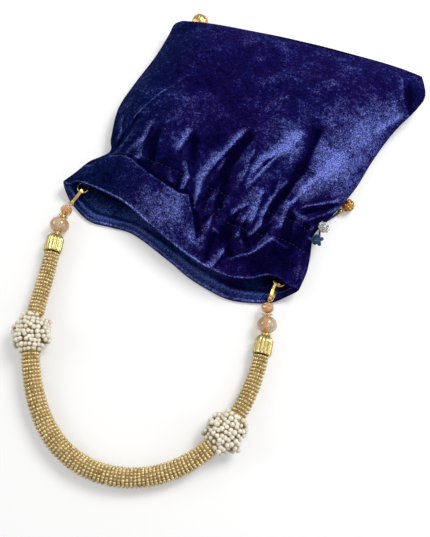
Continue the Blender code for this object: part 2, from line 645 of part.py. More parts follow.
def trigger(side, place):
    """The sprung lever that closes the hook, drawn about its own pin."""
    tip_radius = HOOK_BORE + HOOK_BAND / 2
    tip = (tip_radius * cos(radians(HOOK_TIP_ANGLE)) + HOOK_BAND / 2 + GAP - TRIGGER_AT[0],
           tip_radius * sin(radians(HOOK_TIP_ANGLE)) - TRIGGER_AT[1])
    lean = degrees(atan2(tip[1], tip[0]))
    half = TRIGGER_ARM / 2
    outline = []
    rounded(outline, (0, 0), TRIGGER_BOSS, lean + 30, lean + 245, 10)
    outline += THUMB_TAB
    normal = (-sin(radians(lean)), cos(radians(lean)))
    outline.append((0.3 * tip[0] - half * normal[0], 0.3 * tip[1] - half * normal[1]))
    outline.append((tip[0] - half * normal[0], tip[1] - half * normal[1]))
    outline.append((tip[0] + half * normal[0], tip[1] + half * normal[1]))
    lever = plate(f"{side}_clasp_trigger", outline, TRIGGER_THICKNESS, "gold", place)
    bore = PIN_RADIUS + PIN_CLEARANCE
    cutter = turned(f"{side}_trigger_bore", [(bore, -2), (bore, 2)], 12, "gold", place)
    boolean(lever, "DIFFERENCE", cutter)


def handle_route():
    """The handle's centre line from the left pivot to the right one."""
    left, right = LEFT_PIVOT, RIGHT_PIVOT
    route = [(left[0] + x, left[1] + y, z) for x, y, z in LEFT_STRETCH]
    route += list(MIDDLE_STRETCH)
    route += [(right[0] + x, right[1] + y, z) for x, y, z in RIGHT_STRETCH]
    at, knots = smooth_curve(route)
    fine = np.array([at(knots * k / 3000) for k in range(3001)])
    lengths = np.concatenate([[0], np.cumsum(np.linalg.norm(np.diff(fine, axis=0), axis=1))])

    def place(distance):
        return np.array([np.interp(distance, lengths, fine[:, k]) for k in range(3)])

    return place, lengths[-1]


def string_places():
    """How far from its pivot each strung piece's middle lies, and where the tube starts."""
    middles = {}
    far = EYE_AT - 0.2 + 2 * WIRE_LOOP_RADIUS + WIRE_RADIUS + STRING_GAP
    for name, length in (("small_bead", SMALL_BEAD[1]), ("upper_rondelle", RONDELLE[1]), ("big_bead", BIG_BEAD[1]),
                         ("lower_rondelle", RONDELLE[1]), ("end_cap", END_CAP[1])):
        middles[name] = far + length / 2
        far += length + STRING_GAP
    return middles, far - STRING_GAP + GAP


def strung(side, place, total):
    """Everything between one bag ring and the beaded tube."""
    sign = 1 if side == "left" else -1

    def at(distance):
        return Vector(place(distance if side == "left" else total - distance))

    def on_string(distance, span=0.5):
        return facing(at(distance), at(distance + span) - at(distance - span))

    middles, tube_start = string_places()
    left, right, axis, _ = hinge_frame()
    pivot = left if side == "left" else right
    along = (at(EYE_AT + 2 * WIRE_LOOP_RADIUS + 1) - pivot).normalized()
    flat = (axis - along * axis.dot(along)).normalized()
    flat = Matrix.Rotation(radians(-sign * CLASP_ROLL), 3, along) @ flat
    up = flat.cross(along)
    frame = Matrix((along, up, flat)).transposed().to_4x4()
    clasp_place = Matrix.Translation(pivot) @ frame
    clasp(side, clasp_place)

    # A wire looped through the clasp's eye carries the beads and ends inside the cap
    loop_place = moved(clasp_place, EYE_AT - 0.2 + WIRE_LOOP_RADIUS, 0) @ Matrix.Rotation(pi / 2, 4, "X")
    loop = ring_mesh(f"{side}_beading_wire", WIRE_LOOP_RADIUS, WIRE_RADIUS, "gold", loop_place, 16, 6)
    start = EYE_AT - 0.2 + 2 * WIRE_LOOP_RADIUS
    stop = tube_start - CAP_BORE_DEPTH - 0.1
    first = clasp_place @ Vector((start, 0, 0))
    centres = [first] + [at(start + (stop - start) * k / 8) for k in range(1, 9)]
    stem = tube(f"{side}_stem", centres, [WIRE_RADIUS] * 9, 6, "gold")
    boolean(loop, "UNION", stem)

    bored_ball(f"{side}_small_bead", SMALL_BEAD[0] / 2, SMALL_BEAD[1] / 2, BEAD_BORE, 12, 6, "glass",
               on_string(middles["small_bead"], 3))
    bored_ball(f"{side}_big_bead", BIG_BEAD[0] / 2, BIG_BEAD[1] / 2, BEAD_BORE, 16, 8, "glass",
               on_string(middles["big_bead"], 5))
    radius, half = RONDELLE[0] / 2, RONDELLE[1] / 2
    profile = [(BEAD_BORE, -half), (radius - 0.35, -half), (radius, 0), (radius - 0.35, half), (BEAD_BORE, half)]
    for name in ("upper_rondelle", "lower_rondelle"):
        turned(f"{side}_{name}", profile, 12, "gold", on_string(middles[name], 1), bored=True)
    end_cap(side, on_string(middles["end_cap"], END_CAP[1] / 2))


def end_cap(side, place):
    """A fluted cup, domed at the beads' end, bored for the wire and then for the tube's core."""
    radius, length = END_CAP[0] / 2, END_CAP[1]
    half = length / 2
    bottom = half - CAP_BORE_DEPTH
    bore = CORE_RADIUS + GAP
    profile = [(BEAD_BORE, -half), (2.6, -half), (0.62 * radius, -half + 0.9), (0.84 * radius, -half + 2.6),
               (0.95 * radius, -half + 5.2), (radius, half - 0.6), (radius - 0.3, half), (bore, half),
               (bore, bottom), (BEAD_BORE, bottom)]

    def fluted(angle, far, height):
        deep = 0.055 if far > 0.55 * radius + 0.4 and far > bore + 0.05 else 0
        return 1 + deep * (cos(CAP_FLUTES * angle) - 1) / 2

    turned(f"{side}_end_cap", profile, 2 * CAP_FLUTES, "gold", place, bored=True, reach=fluted)


def beaded_tube(place, total):
    """The padded core, the sleeve of bead rows over it, and the pearls sewn round it."""
    _, start = string_places()
    core_start = start - CAP_BORE_DEPTH + GAP
    steps = 44
    centres = [place(core_start + (total - 2 * core_start) * k / steps) for k in range(steps + 1)]
    tube("handle_core", centres, [CORE_RADIUS] * (steps + 1), 8, "padding")

    length = total - 2 * start
    rows = round(length / ROW_PITCH)
    centres, radii = [], []
    for k in range(2 * rows + 1):
        share = k / (2 * rows)
        full = SLEEVE_RADIUS_ENDS + (SLEEVE_RADIUS_MIDDLE - SLEEVE_RADIUS_ENDS) * sin(pi * share)
        centres.append(place(start + length * share))
        radii.append(full if k % 2 else full - ROW_RELIEF)
    tube("beaded_sleeve", centres, radii, 8, "beadwork", CORE_RADIUS + GAP, 6)

    for side, middle in (("left", LEFT_PEARLS_AT), ("right", total - RIGHT_PEARLS_AT)):
        pearl_cluster(side, place, middle, start, length)


def pearl_cluster(side, place, middle, start, length):
    """A band of pearls round the sleeve: every other point of its surface is a pearl's top."""
    share = (middle - start) / length
    sleeve = SLEEVE_RADIUS_ENDS + (SLEEVE_RADIUS_MIDDLE - SLEEVE_RADIUS_ENDS) * sin(pi * share)
    half = PEARLS_LENGTH / 2
    bore = sleeve / cos(pi / 8) + GAP + 0.25
    sides = 2 * round(pi * 2 * PEARLS_RADIUS / PEARL / 2) * 2
    rows = 2 * round(PEARLS_LENGTH / PEARL)
    profile = []
    for k in range(rows + 1):
        t = 2 * k / rows - 1
        profile.append((bore + 0.5 + (PEARLS_RADIUS - bore - 0.5) * (1 - abs(t) ** 3) ** 0.5, half * t * 0.98))
    profile += [(bore, half), (bore, -half)]

    def knobbly(angle, radius, height):
        if radius <= bore:
            return 1
        column, row = round(angle * sides / (2 * pi)), round((height / (0.98 * half) + 1) * rows / 2)
        top = 0.0 if (column + row) % 2 else -0.09
        squashed = 1 - (1 - PEARLS_FLATTENED / PEARLS_RADIUS) * abs(sin(angle)) ** 1.5
        limit = (bore + 0.4) / radius
        return max((1 + top) * squashed, min(limit, 1))

    ahead = Vector(place(middle + half)) - Vector(place(middle - half))
    centre = (Vector(place(middle + half)) + Vector(place(middle - half)) + 2 * Vector(place(middle))) / 4
    turned(f"{side}_pearl_cluster", profile, sides, "pearl", facing(centre, ahead), bored=True, reach=knobbly)


velvet_bag()
drawstring("left", LEFT_CORD_PLACE)
drawstring("right", RIGHT_CORD_PLACE)
tails_and_charms()
handle_place, handle_length = handle_route()
for this_side in ("left", "right"):
    ring_and_tab(this_side)
    strung(this_side, handle_place, handle_length)
beaded_tube(handle_place, handle_length)
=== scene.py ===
"""The looks of a velvet potli bag with a beaded handle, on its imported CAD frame.

Lengths are in millimetres until a mesh is made. +X runs across the bag, +Y from its mouth to its
base and +Z up off the table. A shape is a pair: its points, and lists of faces that index them.
"""

from math import cos, pi, radians, sin

import bpy
import numpy as np
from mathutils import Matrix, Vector


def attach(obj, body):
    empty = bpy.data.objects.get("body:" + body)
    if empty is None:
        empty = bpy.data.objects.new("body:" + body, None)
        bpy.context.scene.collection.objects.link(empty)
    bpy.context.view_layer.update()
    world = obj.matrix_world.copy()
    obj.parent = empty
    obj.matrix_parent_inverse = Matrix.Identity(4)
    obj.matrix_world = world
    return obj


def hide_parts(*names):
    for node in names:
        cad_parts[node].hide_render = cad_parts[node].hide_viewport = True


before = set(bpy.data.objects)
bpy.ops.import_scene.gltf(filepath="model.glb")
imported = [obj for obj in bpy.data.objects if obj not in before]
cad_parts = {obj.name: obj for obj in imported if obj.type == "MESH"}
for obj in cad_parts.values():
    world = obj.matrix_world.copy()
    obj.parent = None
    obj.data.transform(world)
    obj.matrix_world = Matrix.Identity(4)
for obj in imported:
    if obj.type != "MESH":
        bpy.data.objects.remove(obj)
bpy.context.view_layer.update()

MM = 0.001
GAP = 0.3
CHANCE = np.random.default_rng(11)

# The camera, and the photo's pixels turned into places on the bag

LOOKED_AT = np.array((19.0, -56.45, 0.0))
AZIMUTH, ELEVATION = radians(20), radians(72)
CAMERA_DISTANCE = 420.0
PICTURE_WIDTH, PICTURE_HEIGHT = 430, 537
FOCAL_PIXELS = 600.0
SENSOR = 36.0

BACKWARDS = np.array((sin(AZIMUTH) * cos(ELEVATION), -cos(AZIMUTH) * cos(ELEVATION), sin(ELEVATION)))
RIGHTWARDS = np.array((cos(AZIMUTH), sin(AZIMUTH), 0.0))
UPWARDS = np.cross(BACKWARDS, RIGHTWARDS)
CAMERA = LOOKED_AT + CAMERA_DISTANCE * BACKWARDS


def under_pixel(x, y, z):
    """Where the line of sight through a pixel of the photo meets the level z: camera + t * ray."""
    in_picture = (x - PICTURE_WIDTH / 2) * RIGHTWARDS - (y - PICTURE_HEIGHT / 2) * UPWARDS
    ray = in_picture / FOCAL_PIXELS - BACKWARDS
    return CAMERA + (z - CAMERA[2]) / ray[2] * ray


def camera():
    """The photo's camera, behind LOOKED_AT, with a lens as long as FOCAL_PIXELS of the picture's pixels."""
    data = bpy.data.cameras.new("camera")
    data.sensor_width = SENSOR
    data.lens = FOCAL_PIXELS / PICTURE_HEIGHT * SENSOR
    data.clip_start, data.clip_end = 0.01, 20
    made = bpy.data.objects.new("camera", data)
    bpy.context.scene.collection.objects.link(made)
    made.location = Vector(CAMERA * MM)
    made.rotation_euler = Vector(-BACKWARDS).to_track_quat("-Z", "Y").to_euler()
    bpy.context.scene.camera = made


camera()

# The bag's shape, from the same numbers as its solids

MOUTH_HEIGHT, NECK_HEIGHT, BODY_HEIGHT, CORNER_HEIGHT = 18.0, 25.0, 30.0, 20.0
MOUTH_SEAM_Z, NECK_SEAM_Z, BODY_SEAM_Z, BASE_SEAM_Z = 10.0, 10.5, 12.0, 13.5
TOP_SLOPE_WIDTH, UNDER_SLOPE_WIDTH, LIP_SLOPE_WIDTH = 45.0, 27.0, 17.0
LIP_RISE = 0.8
BASE_BOW = 5.6
VELVET = 1.2
LINING = 0.8
LINING_EASE = 0.9
GATHER_DEPTH = 1.5
CHANNEL_INSET = 6.6
# Left x, left y, right x, right y, panel height, seam height, share of the lips' curve, gathers
STATIONS = np.array((
    (-104.5, -34.8, 78.6, -54.4, MOUTH_HEIGHT, MOUTH_SEAM_Z, 1.0, 0.0),
    (-99.0, -25.0, 79.8, -41.0, (MOUTH_HEIGHT + NECK_HEIGHT) / 2, MOUTH_SEAM_Z, 0.65, 0.15),
    (-93.0, -14.0, 78.6, -29.0, NECK_HEIGHT, NECK_SEAM_Z, 0.4, 0.8),
    (-82.5, -2.0, 76.5, -13.0, NECK_HEIGHT, NECK_SEAM_Z, 0.2, 1.0),
    (-86.0, 9.0, 82.5, 0.4, (NECK_HEIGHT + BODY_HEIGHT) / 2, NECK_SEAM_Z, 0.05, 0.9),
    (-90.0, 33.0, 93.5, 29.0, BODY_HEIGHT, BODY_SEAM_Z, 0.0, 0.4),
    (-86.6, 58.0, 99.2, 55.0, BODY_HEIGHT, BODY_SEAM_Z, 0.0, 0.1),
    (-81.2, 84.0, 107.6, 83.0, BODY_HEIGHT, BODY_SEAM_Z, 0.0, 0.0),
    (-78.3, 104.3, 118.4, 106.6, (BODY_HEIGHT + CORNER_HEIGHT) / 2, BASE_SEAM_Z, 0.0, 0.0),
    (-77.8, 116.4, 121.6, 120.8, CORNER_HEIGHT, BASE_SEAM_Z, 0.0, 0.0),
    (-73.0, 121.9, 115.4, 135.9, BASE_SEAM_Z, BASE_SEAM_Z, 0.0, 0.0),
))
LAST = len(STATIONS) - 1
CORNER_STATION = LAST - 1
UNDER_CLOSES_FROM = 6
# Each lip's curve: (place across from -1 to 1, how far it stands back from the straight line in millimetres)
BACK_LIP = np.array(((-1, 0), (-0.93, -1.2), (-0.86, 3.2), (-0.58, 3.3), (-0.4, 1.4), (-0.2, -4.6), (0, -10),
                     (0.17, -13.3), (0.33, -15.1), (0.5, -14.3), (0.64, -9), (0.74, -2), (0.82, 0.2),
                     (0.92, -1), (1, 0)))
FRONT_LIP = np.array(((-1, 0), (-0.94, -5.8), (-0.86, -10.6), (-0.7, -15.5), (-0.53, -12.8), (-0.33, -10.6),
                      (0, -17.2), (0.18, -21.8), (0.36, -24), (0.52, -24.1), (0.67, -20.2), (0.82, -14),
                      (0.91, -7), (1, 0)))


def eased(value):
    """The S curve v * v * (3 - 2 v)."""
    return value * value * (3 - 2 * value)


def ramp(value, low, high):
    """0 below low, 1 above high, and an S curve between them."""
    return eased(np.clip((value - low) / (high - low), 0, 1))


def bump(value, width):
    """exp(-(value / width) squared)."""
    return np.exp(-(value / width) ** 2)


def blended(rows, place):
    """A curve through a table's rows, read at an array of places. Its slope at a row is half the step
    from the row before to the row after, and it is a cubic between rows."""
    i = np.clip(np.floor(place).astype(int), 0, len(rows) - 2)
    t = (place - i)[:, None]
    before, here, after, beyond = (rows[np.clip(i + k, 0, len(rows) - 1)] for k in (-1, 0, 1, 2))
    return here + 0.5 * t * (after - before + t * (2 * before - 5 * here + 4 * after - beyond
                                                   + t * (3 * (here - after) + beyond - before)))


def lip_curve(lip, where):
    """A lip's points joined by a smooth curve, read at an array of places across."""
    steps = np.linspace(0, len(lip) - 1, 600)
    curve = blended(lip, steps)
    return np.interp(where, curve[:, 0], curve[:, 1])


def panel_heights(place, height, seam, from_seam):
    """Heights of the two panels' outer faces.

    The upper one is seam + (height - seam) (1 - (1 - distance / width) ** 2.4), and the lower one runs
    from the seam down to the table as (1 - distance / width) ** 1.6, and closes up to the seam at the base.
    """
    rise = 1 - np.clip(1 - from_seam / TOP_SLOPE_WIDTH, 0, 1) ** 2.4
    slope_width = LIP_SLOPE_WIDTH + (UNDER_SLOPE_WIDTH - LIP_SLOPE_WIDTH) * ramp(place, 0, 3)
    lift = np.clip(1 - from_seam / slope_width, 0, 1) ** 1.6
    closing = np.clip((place - UNDER_CLOSES_FROM) / (LAST - UNDER_CLOSES_FROM), 0, 1) ** 4
    under = seam * (1 - (1 - lift) * (1 - closing)) + LIP_RISE * np.clip(1 - place, 0, 1) * (1 - lift)
    return seam + (height - seam) * rise, under


def side_inset(place, height, seam, inset):
    """How far in from a side seam two faces this deep under the panels meet, found by halving."""
    low, high = np.zeros_like(place), np.full_like(place, TOP_SLOPE_WIDTH)
    for _ in range(30):
        middle = (low + high) / 2
        top, under = panel_heights(place, height, seam, middle)
        enough = top - under >= 2 * inset
        low, high = np.where(enough, low, middle), np.where(enough, middle, high)
    return high


def panel(places, across, upper, inset=0.0, relief=None):
    """A panel's face on the grid of places (0 at the mouth to LAST at the base) and across (-1 to 1).

    x, y run straight between the side seams plus the lip's curve and the base's bow, and z comes from
    panel_heights. inset is how deep the face lies, and relief(x, y) adds to its height.
    """
    place = np.asarray(places, float)
    row = blended(STATIONS, place)
    x0, y0, x1, y1, height, seam, lips, _ = (row[:, k, None] for k in range(8))
    place = place[:, None]
    inset = np.broadcast_to(np.asarray(inset, float).reshape(-1, 1), place.shape)
    width = np.hypot(x1 - x0, y1 - y0)
    edge = np.where(inset > 0, side_inset(place, height, seam, inset), 0) / width
    along = edge + (1 - 2 * edge) * (np.asarray(across)[None, :] + 1) / 2
    x, y = x0 + (x1 - x0) * along, y0 + (y1 - y0) * along
    y = y + lips * lip_curve(BACK_LIP if upper else FRONT_LIP, 2 * along - 1)
    y = y + BASE_BOW * ramp(place, 3, LAST) * (1 - np.asarray(across)[None, :] ** 4)
    from_seam = width * np.minimum(along, 1 - along)
    top, under = panel_heights(place, height, seam, from_seam)
    z = top - inset if upper else under + inset
    if relief is not None:
        z = z + relief(x, y) * ramp(from_seam, 0, 12) * ramp(LAST - place, 0, 1.2) * ramp(place, -0.2, 0.5)
    return np.stack((x, y, z + 0 * x), axis=-1)


# Shapes

def grid_faces(rows, columns, wrap_rows=False, wrap_columns=False):
    """The four-cornered faces between neighbours on a grid of points, as rows of four indices."""
    r = np.arange(rows if wrap_rows else rows - 1)[:, None]
    c = np.arange(columns if wrap_columns else columns - 1)[None, :]
    near, far = r * columns, (r + 1) % rows * columns
    following = (c + 1) % columns
    return np.stack((near + c, near + following, far + following, far + c), axis=-1).reshape(-1, 4)


def grid_shape(points, wrap_rows=False, wrap_columns=False, capped=False):
    """A grid of points as a shape. Capped closes its first and last row with a point in the middle."""
    rows, columns = points.shape[:2]
    faces = [grid_faces(rows, columns, wrap_rows, wrap_columns)]
    flat = points.reshape(-1, 3)
    if capped:
        flat = np.vstack((flat, points[0].mean(0), points[-1].mean(0)))
        c = np.arange(columns)
        following = (c + 1) % columns
        first, last = rows * columns, (rows - 1) * columns
        faces.append(np.stack((0 * c + first, following, c), axis=-1))
        faces.append(np.stack((0 * c + first + 1, last + c, last + following), axis=-1))
    return flat, faces


def slab_shape(outer, inner):
    """Two grids of the same size, outer and inner, joined round their edges into a closed wall."""
    rows, columns = outer.shape[:2]
    count = rows * columns
    face = grid_faces(rows, columns)
    r, c = np.arange(rows), np.arange(columns)
    right, left = r[1:] * columns + columns - 1, r[-2:0:-1] * columns
    edge = np.concatenate((c, right, (rows - 1) * columns + c[-2::-1], left))
    after = np.roll(edge, -1)
    rim = np.stack((after, edge, edge + count, after + count), axis=-1)
    return np.vstack((outer.reshape(-1, 3), inner.reshape(-1, 3))), [face, face[:, ::-1] + count, rim]


def together(*shapes):
    """Several shapes as one."""
    points, faces, first = [], [], 0
    for these, lists in shapes:
        points.append(these)
        faces += [np.asarray(one) + first for one in lists]
        first += len(these)
    return np.vstack(points), faces


def turned(profile, sides, reach=None, bored=False):
    """A profile of (radius, height) points turned round +Z: (r cos a, r sin a, h), with r scaled by
    reach(a, r, h). A bored profile is a closed loop, and another is capped."""
    profile = np.asarray(profile, float)
    angle = np.arange(sides)[None, :] * 2 * pi / sides
    radius, height = profile[:, :1] + 0 * angle, profile[:, 1:] + 0 * angle
    if reach is not None:
        radius = radius * reach(angle, radius, height)
    points = np.stack((radius * np.cos(angle), radius * np.sin(angle), height), axis=-1)
    return grid_shape(points, wrap_rows=bored, wrap_columns=True, capped=not bored)


def ball_profile(radius, half_length, steps, bore=0.0):
    """(radius sin a, -half_length cos a) for a from one end of a ball or a bored ball to the other."""
    start = np.arcsin(bore / radius) if bore else 0.05
    angle = np.linspace(start, pi - start, steps + 1)
    return np.stack((radius * np.sin(angle), -half_length * np.cos(angle)), axis=-1)


def facing(direction, up=(0, 0, 1)):
    """The turn that brings +Z to a direction, as a matrix of columns."""
    z = np.asarray(direction, float) / np.linalg.norm(direction)
    x = np.cross(up, z)
    x = np.array((1.0, 0, 0)) if np.linalg.norm(x) < 1e-6 else x / np.linalg.norm(x)
    return np.stack((x, np.cross(z, x), z), axis=-1)


def placed(shape, turn, where):
    """A shape turned and moved: turn p + where."""
    points, faces = shape
    return points @ np.asarray(turn).T + np.asarray(where), faces


def copies(shape, turns, wheres):
    """A shape repeated: point p of copy k is turns[k] p + wheres[k]."""
    points, faces = shape
    turns, wheres = np.asarray(turns, float), np.asarray(wheres, float)
    every = np.einsum("kij,pj->kpi", turns, points) + wheres[:, None, :]
    firsts = np.arange(len(wheres))[:, None, None] * len(points)
    return every.reshape(-1, 3), [(face[None] + firsts).reshape(-1, face.shape[1]) for face in faces]


def frames_along(centres, closed=False):
    """Heading, side and up of each point of a path, with side level wherever the path allows it."""
    if closed:
        heading = np.roll(centres, -1, axis=0) - np.roll(centres, 1, axis=0)
    else:
        heading = np.gradient(centres, axis=0)
    heading /= np.linalg.norm(heading, axis=1)[:, None]
    side = np.cross((0, 0, 1), heading)
    side /= np.maximum(np.linalg.norm(side, axis=1), 1e-6)[:, None]
    return heading, side, np.cross(heading, side)


def steady_frames(centres, closed=False):
    """As frames_along, but each side is the last one carried on without twisting, for knotted paths."""
    heading, _, _ = frames_along(centres, closed)
    side = np.zeros_like(heading)
    carried = np.cross(heading[0], (0.3, 0.5, 0.8))
    for k, ahead in enumerate(heading):
        carried = carried - ahead * carried.dot(ahead)
        carried /= np.linalg.norm(carried)
        side[k] = carried
    return heading, side, np.cross(heading, side)


def tube(centres, radius, sides, closed=False, frames=None, strands=0, twist=0.0):
    """A tube round a path: centre + r (cos a side + sin a up). With strands, r swells and sinks as
    |cos(strands (a - twist * distance) / 2)| does, like a laid cord."""
    heading, side, up = frames or frames_along(centres, closed)
    distance = np.concatenate([[0], np.cumsum(np.linalg.norm(np.diff(centres, axis=0), axis=1))])[:, None]
    angle = np.arange(sides)[None, :] * 2 * pi / sides
    reach = np.broadcast_to(np.asarray(radius, float).reshape(-1, 1), (len(centres), sides))
    if strands:
        reach = reach * (0.72 + 0.28 * np.abs(np.cos(strands * (angle - twist * distance) / 2)) ** 0.7)
    points = centres[:, None, :] + reach[..., None] * (np.cos(angle)[..., None] * side[:, None, :]
                                                       + np.sin(angle)[..., None] * up[:, None, :])
    return grid_shape(points, wrap_rows=closed, wrap_columns=True, capped=not closed)


def smooth_route(points, count):
    """A natural cubic spline through the points, read at count places along their chords."""
    points = np.asarray(points, float)
    knots = np.concatenate([[0], np.cumsum(np.linalg.norm(np.diff(points, axis=0), axis=1))])
    step = np.diff(knots)
    system, right = np.eye(len(points)), np.zeros_like(points)
    for i in range(1, len(points) - 1):
        system[i, i - 1:i + 2] = step[i - 1], 2 * (step[i - 1] + step[i]), step[i]
        right[i] = 6 * ((points[i + 1] - points[i]) / step[i] - (points[i] - points[i - 1]) / step[i - 1])
    bend = np.linalg.solve(system, right)
    distance = np.linspace(0, knots[-1], count)
    i = np.clip(np.searchsorted(knots, distance) - 1, 0, len(points) - 2)
    a, b = ((knots[i + 1] - distance) / step[i])[:, None], ((distance - knots[i]) / step[i])[:, None]
    return (a * points[i] + b * points[i + 1]
            + ((a ** 3 - a) * bend[i] + (b ** 3 - b) * bend[i + 1]) * step[i][:, None] ** 2 / 6)


def piece(name, shape, finish, body, replaces=(), smooth=True, values=None, face_finish=None):
    """Makes an object from a shape in millimetres and lets it ride on a body. values are numbers per
    point, stored as attributes. face_finish is a second material and the faces that take it."""
    points, faces = shape
    mesh = bpy.data.meshes.new(name)
    mesh.from_pydata((points * MM).tolist(), [], [face for some in faces for face in some.tolist()])
    mesh.materials.append(finish)
    for label, numbers in (values or {}).items():
        layer = mesh.attributes.new(label, "FLOAT", "POINT")
        layer.data.foreach_set("value", np.ascontiguousarray(numbers, dtype=np.float32).ravel())
    if face_finish:
        mesh.materials.append(face_finish[0])
        mesh.polygons.foreach_set("material_index", face_finish[1].astype(np.int32))
    if smooth:
        mesh.shade_smooth()
    mesh.validate()
    mesh.update()
    made = bpy.data.objects.new(name, mesh)
    bpy.context.scene.collection.objects.link(made)
    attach(made, body)
    if replaces:
        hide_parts(*([replaces] if isinstance(replaces, str) else replaces))
    return made


# Materials

class Wiring:
    """Adds and joins the nodes of one material or group."""

    def __init__(self, tree):
        self.tree = tree

    def add(self, kind, inputs=None, **settings):
        """A node of a kind, with its settings and what goes into its inputs."""
        node = self.tree.nodes.new(kind)
        for name, value in settings.items():
            setattr(node, name, value)
        for name, value in (inputs or {}).items():
            self.feed(node.inputs[name], value)
        return node

    def feed(self, socket, value):
        """Puts another node's output, a colour or a number into a socket."""
        if isinstance(value, bpy.types.NodeSocket):
            self.tree.links.new(value, socket)
        elif isinstance(value, tuple) and len(value) == 3 and socket.type == "RGBA":
            socket.default_value = (*value, 1)
        else:
            socket.default_value = value

    def math(self, kind, one, two, clamp=False):
        """One and two joined by a kind of sum, such as ADD. clamp keeps the result from 0 to 1."""
        return self.add("ShaderNodeMath", {0: one, 1: two}, operation=kind, use_clamp=clamp).outputs[0]

    def line(self, value, slope, start=0.0, clamp=False):
        """slope * value + start."""
        return self.add("ShaderNodeMath", {0: value, 1: slope, 2: start}, operation="MULTIPLY_ADD",
                        use_clamp=clamp).outputs[0]

    def noise(self, where, scale, detail=2.0, roughness=0.5):
        """A noise value spread out to run about from 0 to 1."""
        made = self.add("ShaderNodeTexNoise", {"Vector": where, "Scale": scale, "Detail": detail,
                                               "Roughness": roughness})
        spread = {"Value": made.outputs["Fac"], "From Min": 0.3, "From Max": 0.7}
        return self.add("ShaderNodeMapRange", spread).outputs[0]

    def mix(self, share, one, two):
        """The colour one, turning into two as share goes from 0 to 1."""
        made = self.add("ShaderNodeMix", data_type="RGBA")
        self.feed(made.inputs["Factor"], share)
        self.feed(made.inputs[6], one)
        self.feed(made.inputs[7], two)
        return made.outputs[2]


def group(name, inputs, outputs):
    """A new shader node group with named sockets, given as (name, kind, default)."""
    tree = bpy.data.node_groups.new(name, "ShaderNodeTree")
    for label, kind, default in inputs:
        socket = tree.interface.new_socket(label, in_out="INPUT", socket_type=kind)
        if default is not None:
            socket.default_value = default
    for label, kind in outputs:
        tree.interface.new_socket(label, in_out="OUTPUT", socket_type=kind)
    wiring = Wiring(tree)
    return tree, wiring, wiring.add("NodeGroupInput").outputs, wiring.add("NodeGroupOutput").inputs


def crushed_and_light_group():
    """Crushed velvet with painted light: three depths of one colour, mixed by painted light and shade and
    by the crushed pile, and flecked by grain.

    The sum light + 0.86 (patches and streaks - 0.5) + ruffled (fuzz - 0.5), with light the painted light
    and shade from -1 to 1, shows sum ** 1.25 of the bright colour where it is above 0, and the dark one
    below.
    """
    number, colour = "NodeSocketFloat", "NodeSocketColor"
    tree, w, given, out = group("crushed_velvet_and_painted_light", [
        ("Vector", "NodeSocketVector", None), ("Light", number, 0.0), ("Dark", colour, (0, 0, 0, 1)),
        ("Middle", colour, (0, 0, 0, 1)), ("Bright", colour, (0, 0, 0, 1))],
        [("Color", colour), ("Height", number)])
    where, light = given["Vector"], given["Light"]
    patches = w.noise(where, 75, 3, 0.6)
    streaks = w.noise(where, 330, 3, 0.7)
    fuzz = w.noise(where, 950, 2, 0.8)
    grain = w.line(w.noise(where, 1250, 2, 0.7), 3.4, -1.2, clamp=True)
    crushed = w.math("ADD", w.line(patches, 0.45), w.line(streaks, 0.55))
    ruffled = w.line(w.math("MAXIMUM", light, 0.0), 0.95, 0.42)
    crushed_and_lit = w.math("ADD", light, w.line(crushed, 0.86, -0.43))
    crushed_and_lit = w.math("ADD", crushed_and_lit, w.math("MULTIPLY", w.line(fuzz, 1.0, -0.5), ruffled))
    lit = w.math("POWER", w.math("MAXIMUM", crushed_and_lit, 0.0), 1.25, clamp=True)
    lit = w.math("MULTIPLY", lit, w.line(grain, 0.95, 0.38), clamp=True)
    shaded = w.line(crushed_and_lit, -1.8, clamp=True)
    smooth = w.mix(shaded, w.mix(lit, given["Middle"], given["Bright"]), given["Dark"])
    flecked = {0: smooth, "Scale": w.line(grain, 0.9, 0.58)}
    w.feed(out["Color"], w.add("ShaderNodeVectorMath", flecked, operation="SCALE").outputs["Vector"])
    w.feed(out["Height"], w.math("ADD", w.line(fuzz, 0.4), w.line(streaks, 0.6)))
    return tree


def wear_group():
    """Rubbed metal: a colour and roughness that vary softly over the surface."""
    number, colour = "NodeSocketFloat", "NodeSocketColor"
    tree, w, given, out = group("rubbed_metal", [
        ("Vector", "NodeSocketVector", None), ("Polished", colour, (1, 1, 1, 1)),
        ("Dull", colour, (0, 0, 0, 1)), ("Scale", number, 600.0), ("Smooth", number, 0.15),
        ("Rough", number, 0.35)],
        [("Color", colour), ("Roughness", number), ("Height", number)])
    cloud = w.noise(given["Vector"], given["Scale"], 3, 0.6)
    spread = w.math("MULTIPLY", w.math("SUBTRACT", given["Rough"], given["Smooth"]), cloud)
    w.feed(out["Color"], w.mix(w.line(cloud, 0.7), given["Polished"], given["Dull"]))
    w.feed(out["Roughness"], w.math("ADD", given["Smooth"], spread))
    w.feed(out["Height"], cloud)
    return tree


CRUSHED_AND_LIGHT = crushed_and_light_group()
RUBBED = wear_group()


def new_material(name, **constants):
    """A Principled material with constants on its own sockets, and the wiring to add to it."""
    made = bpy.data.materials.new(name)
    made.use_nodes = True
    shader = made.node_tree.nodes["Principled BSDF"]
    w = Wiring(made.node_tree)
    for label, value in constants.items():
        w.feed(shader.inputs[label.replace("_", " ")], value)
    where = w.add("ShaderNodeTexCoord").outputs["Object"]
    return made, w, shader, where


def bumped(w, shader, height, distance):
    """A bump on the shader's normal at half strength, this far high in metres where height is 1."""
    made = w.add("ShaderNodeBump", {"Strength": 0.5, "Distance": distance, "Height": height})
    w.feed(shader.inputs["Normal"], made.outputs["Normal"])


PURPLE = (0.0080, 0.0038, 0.060)        # the velvet's middle colour turns to this in wide, soft patches


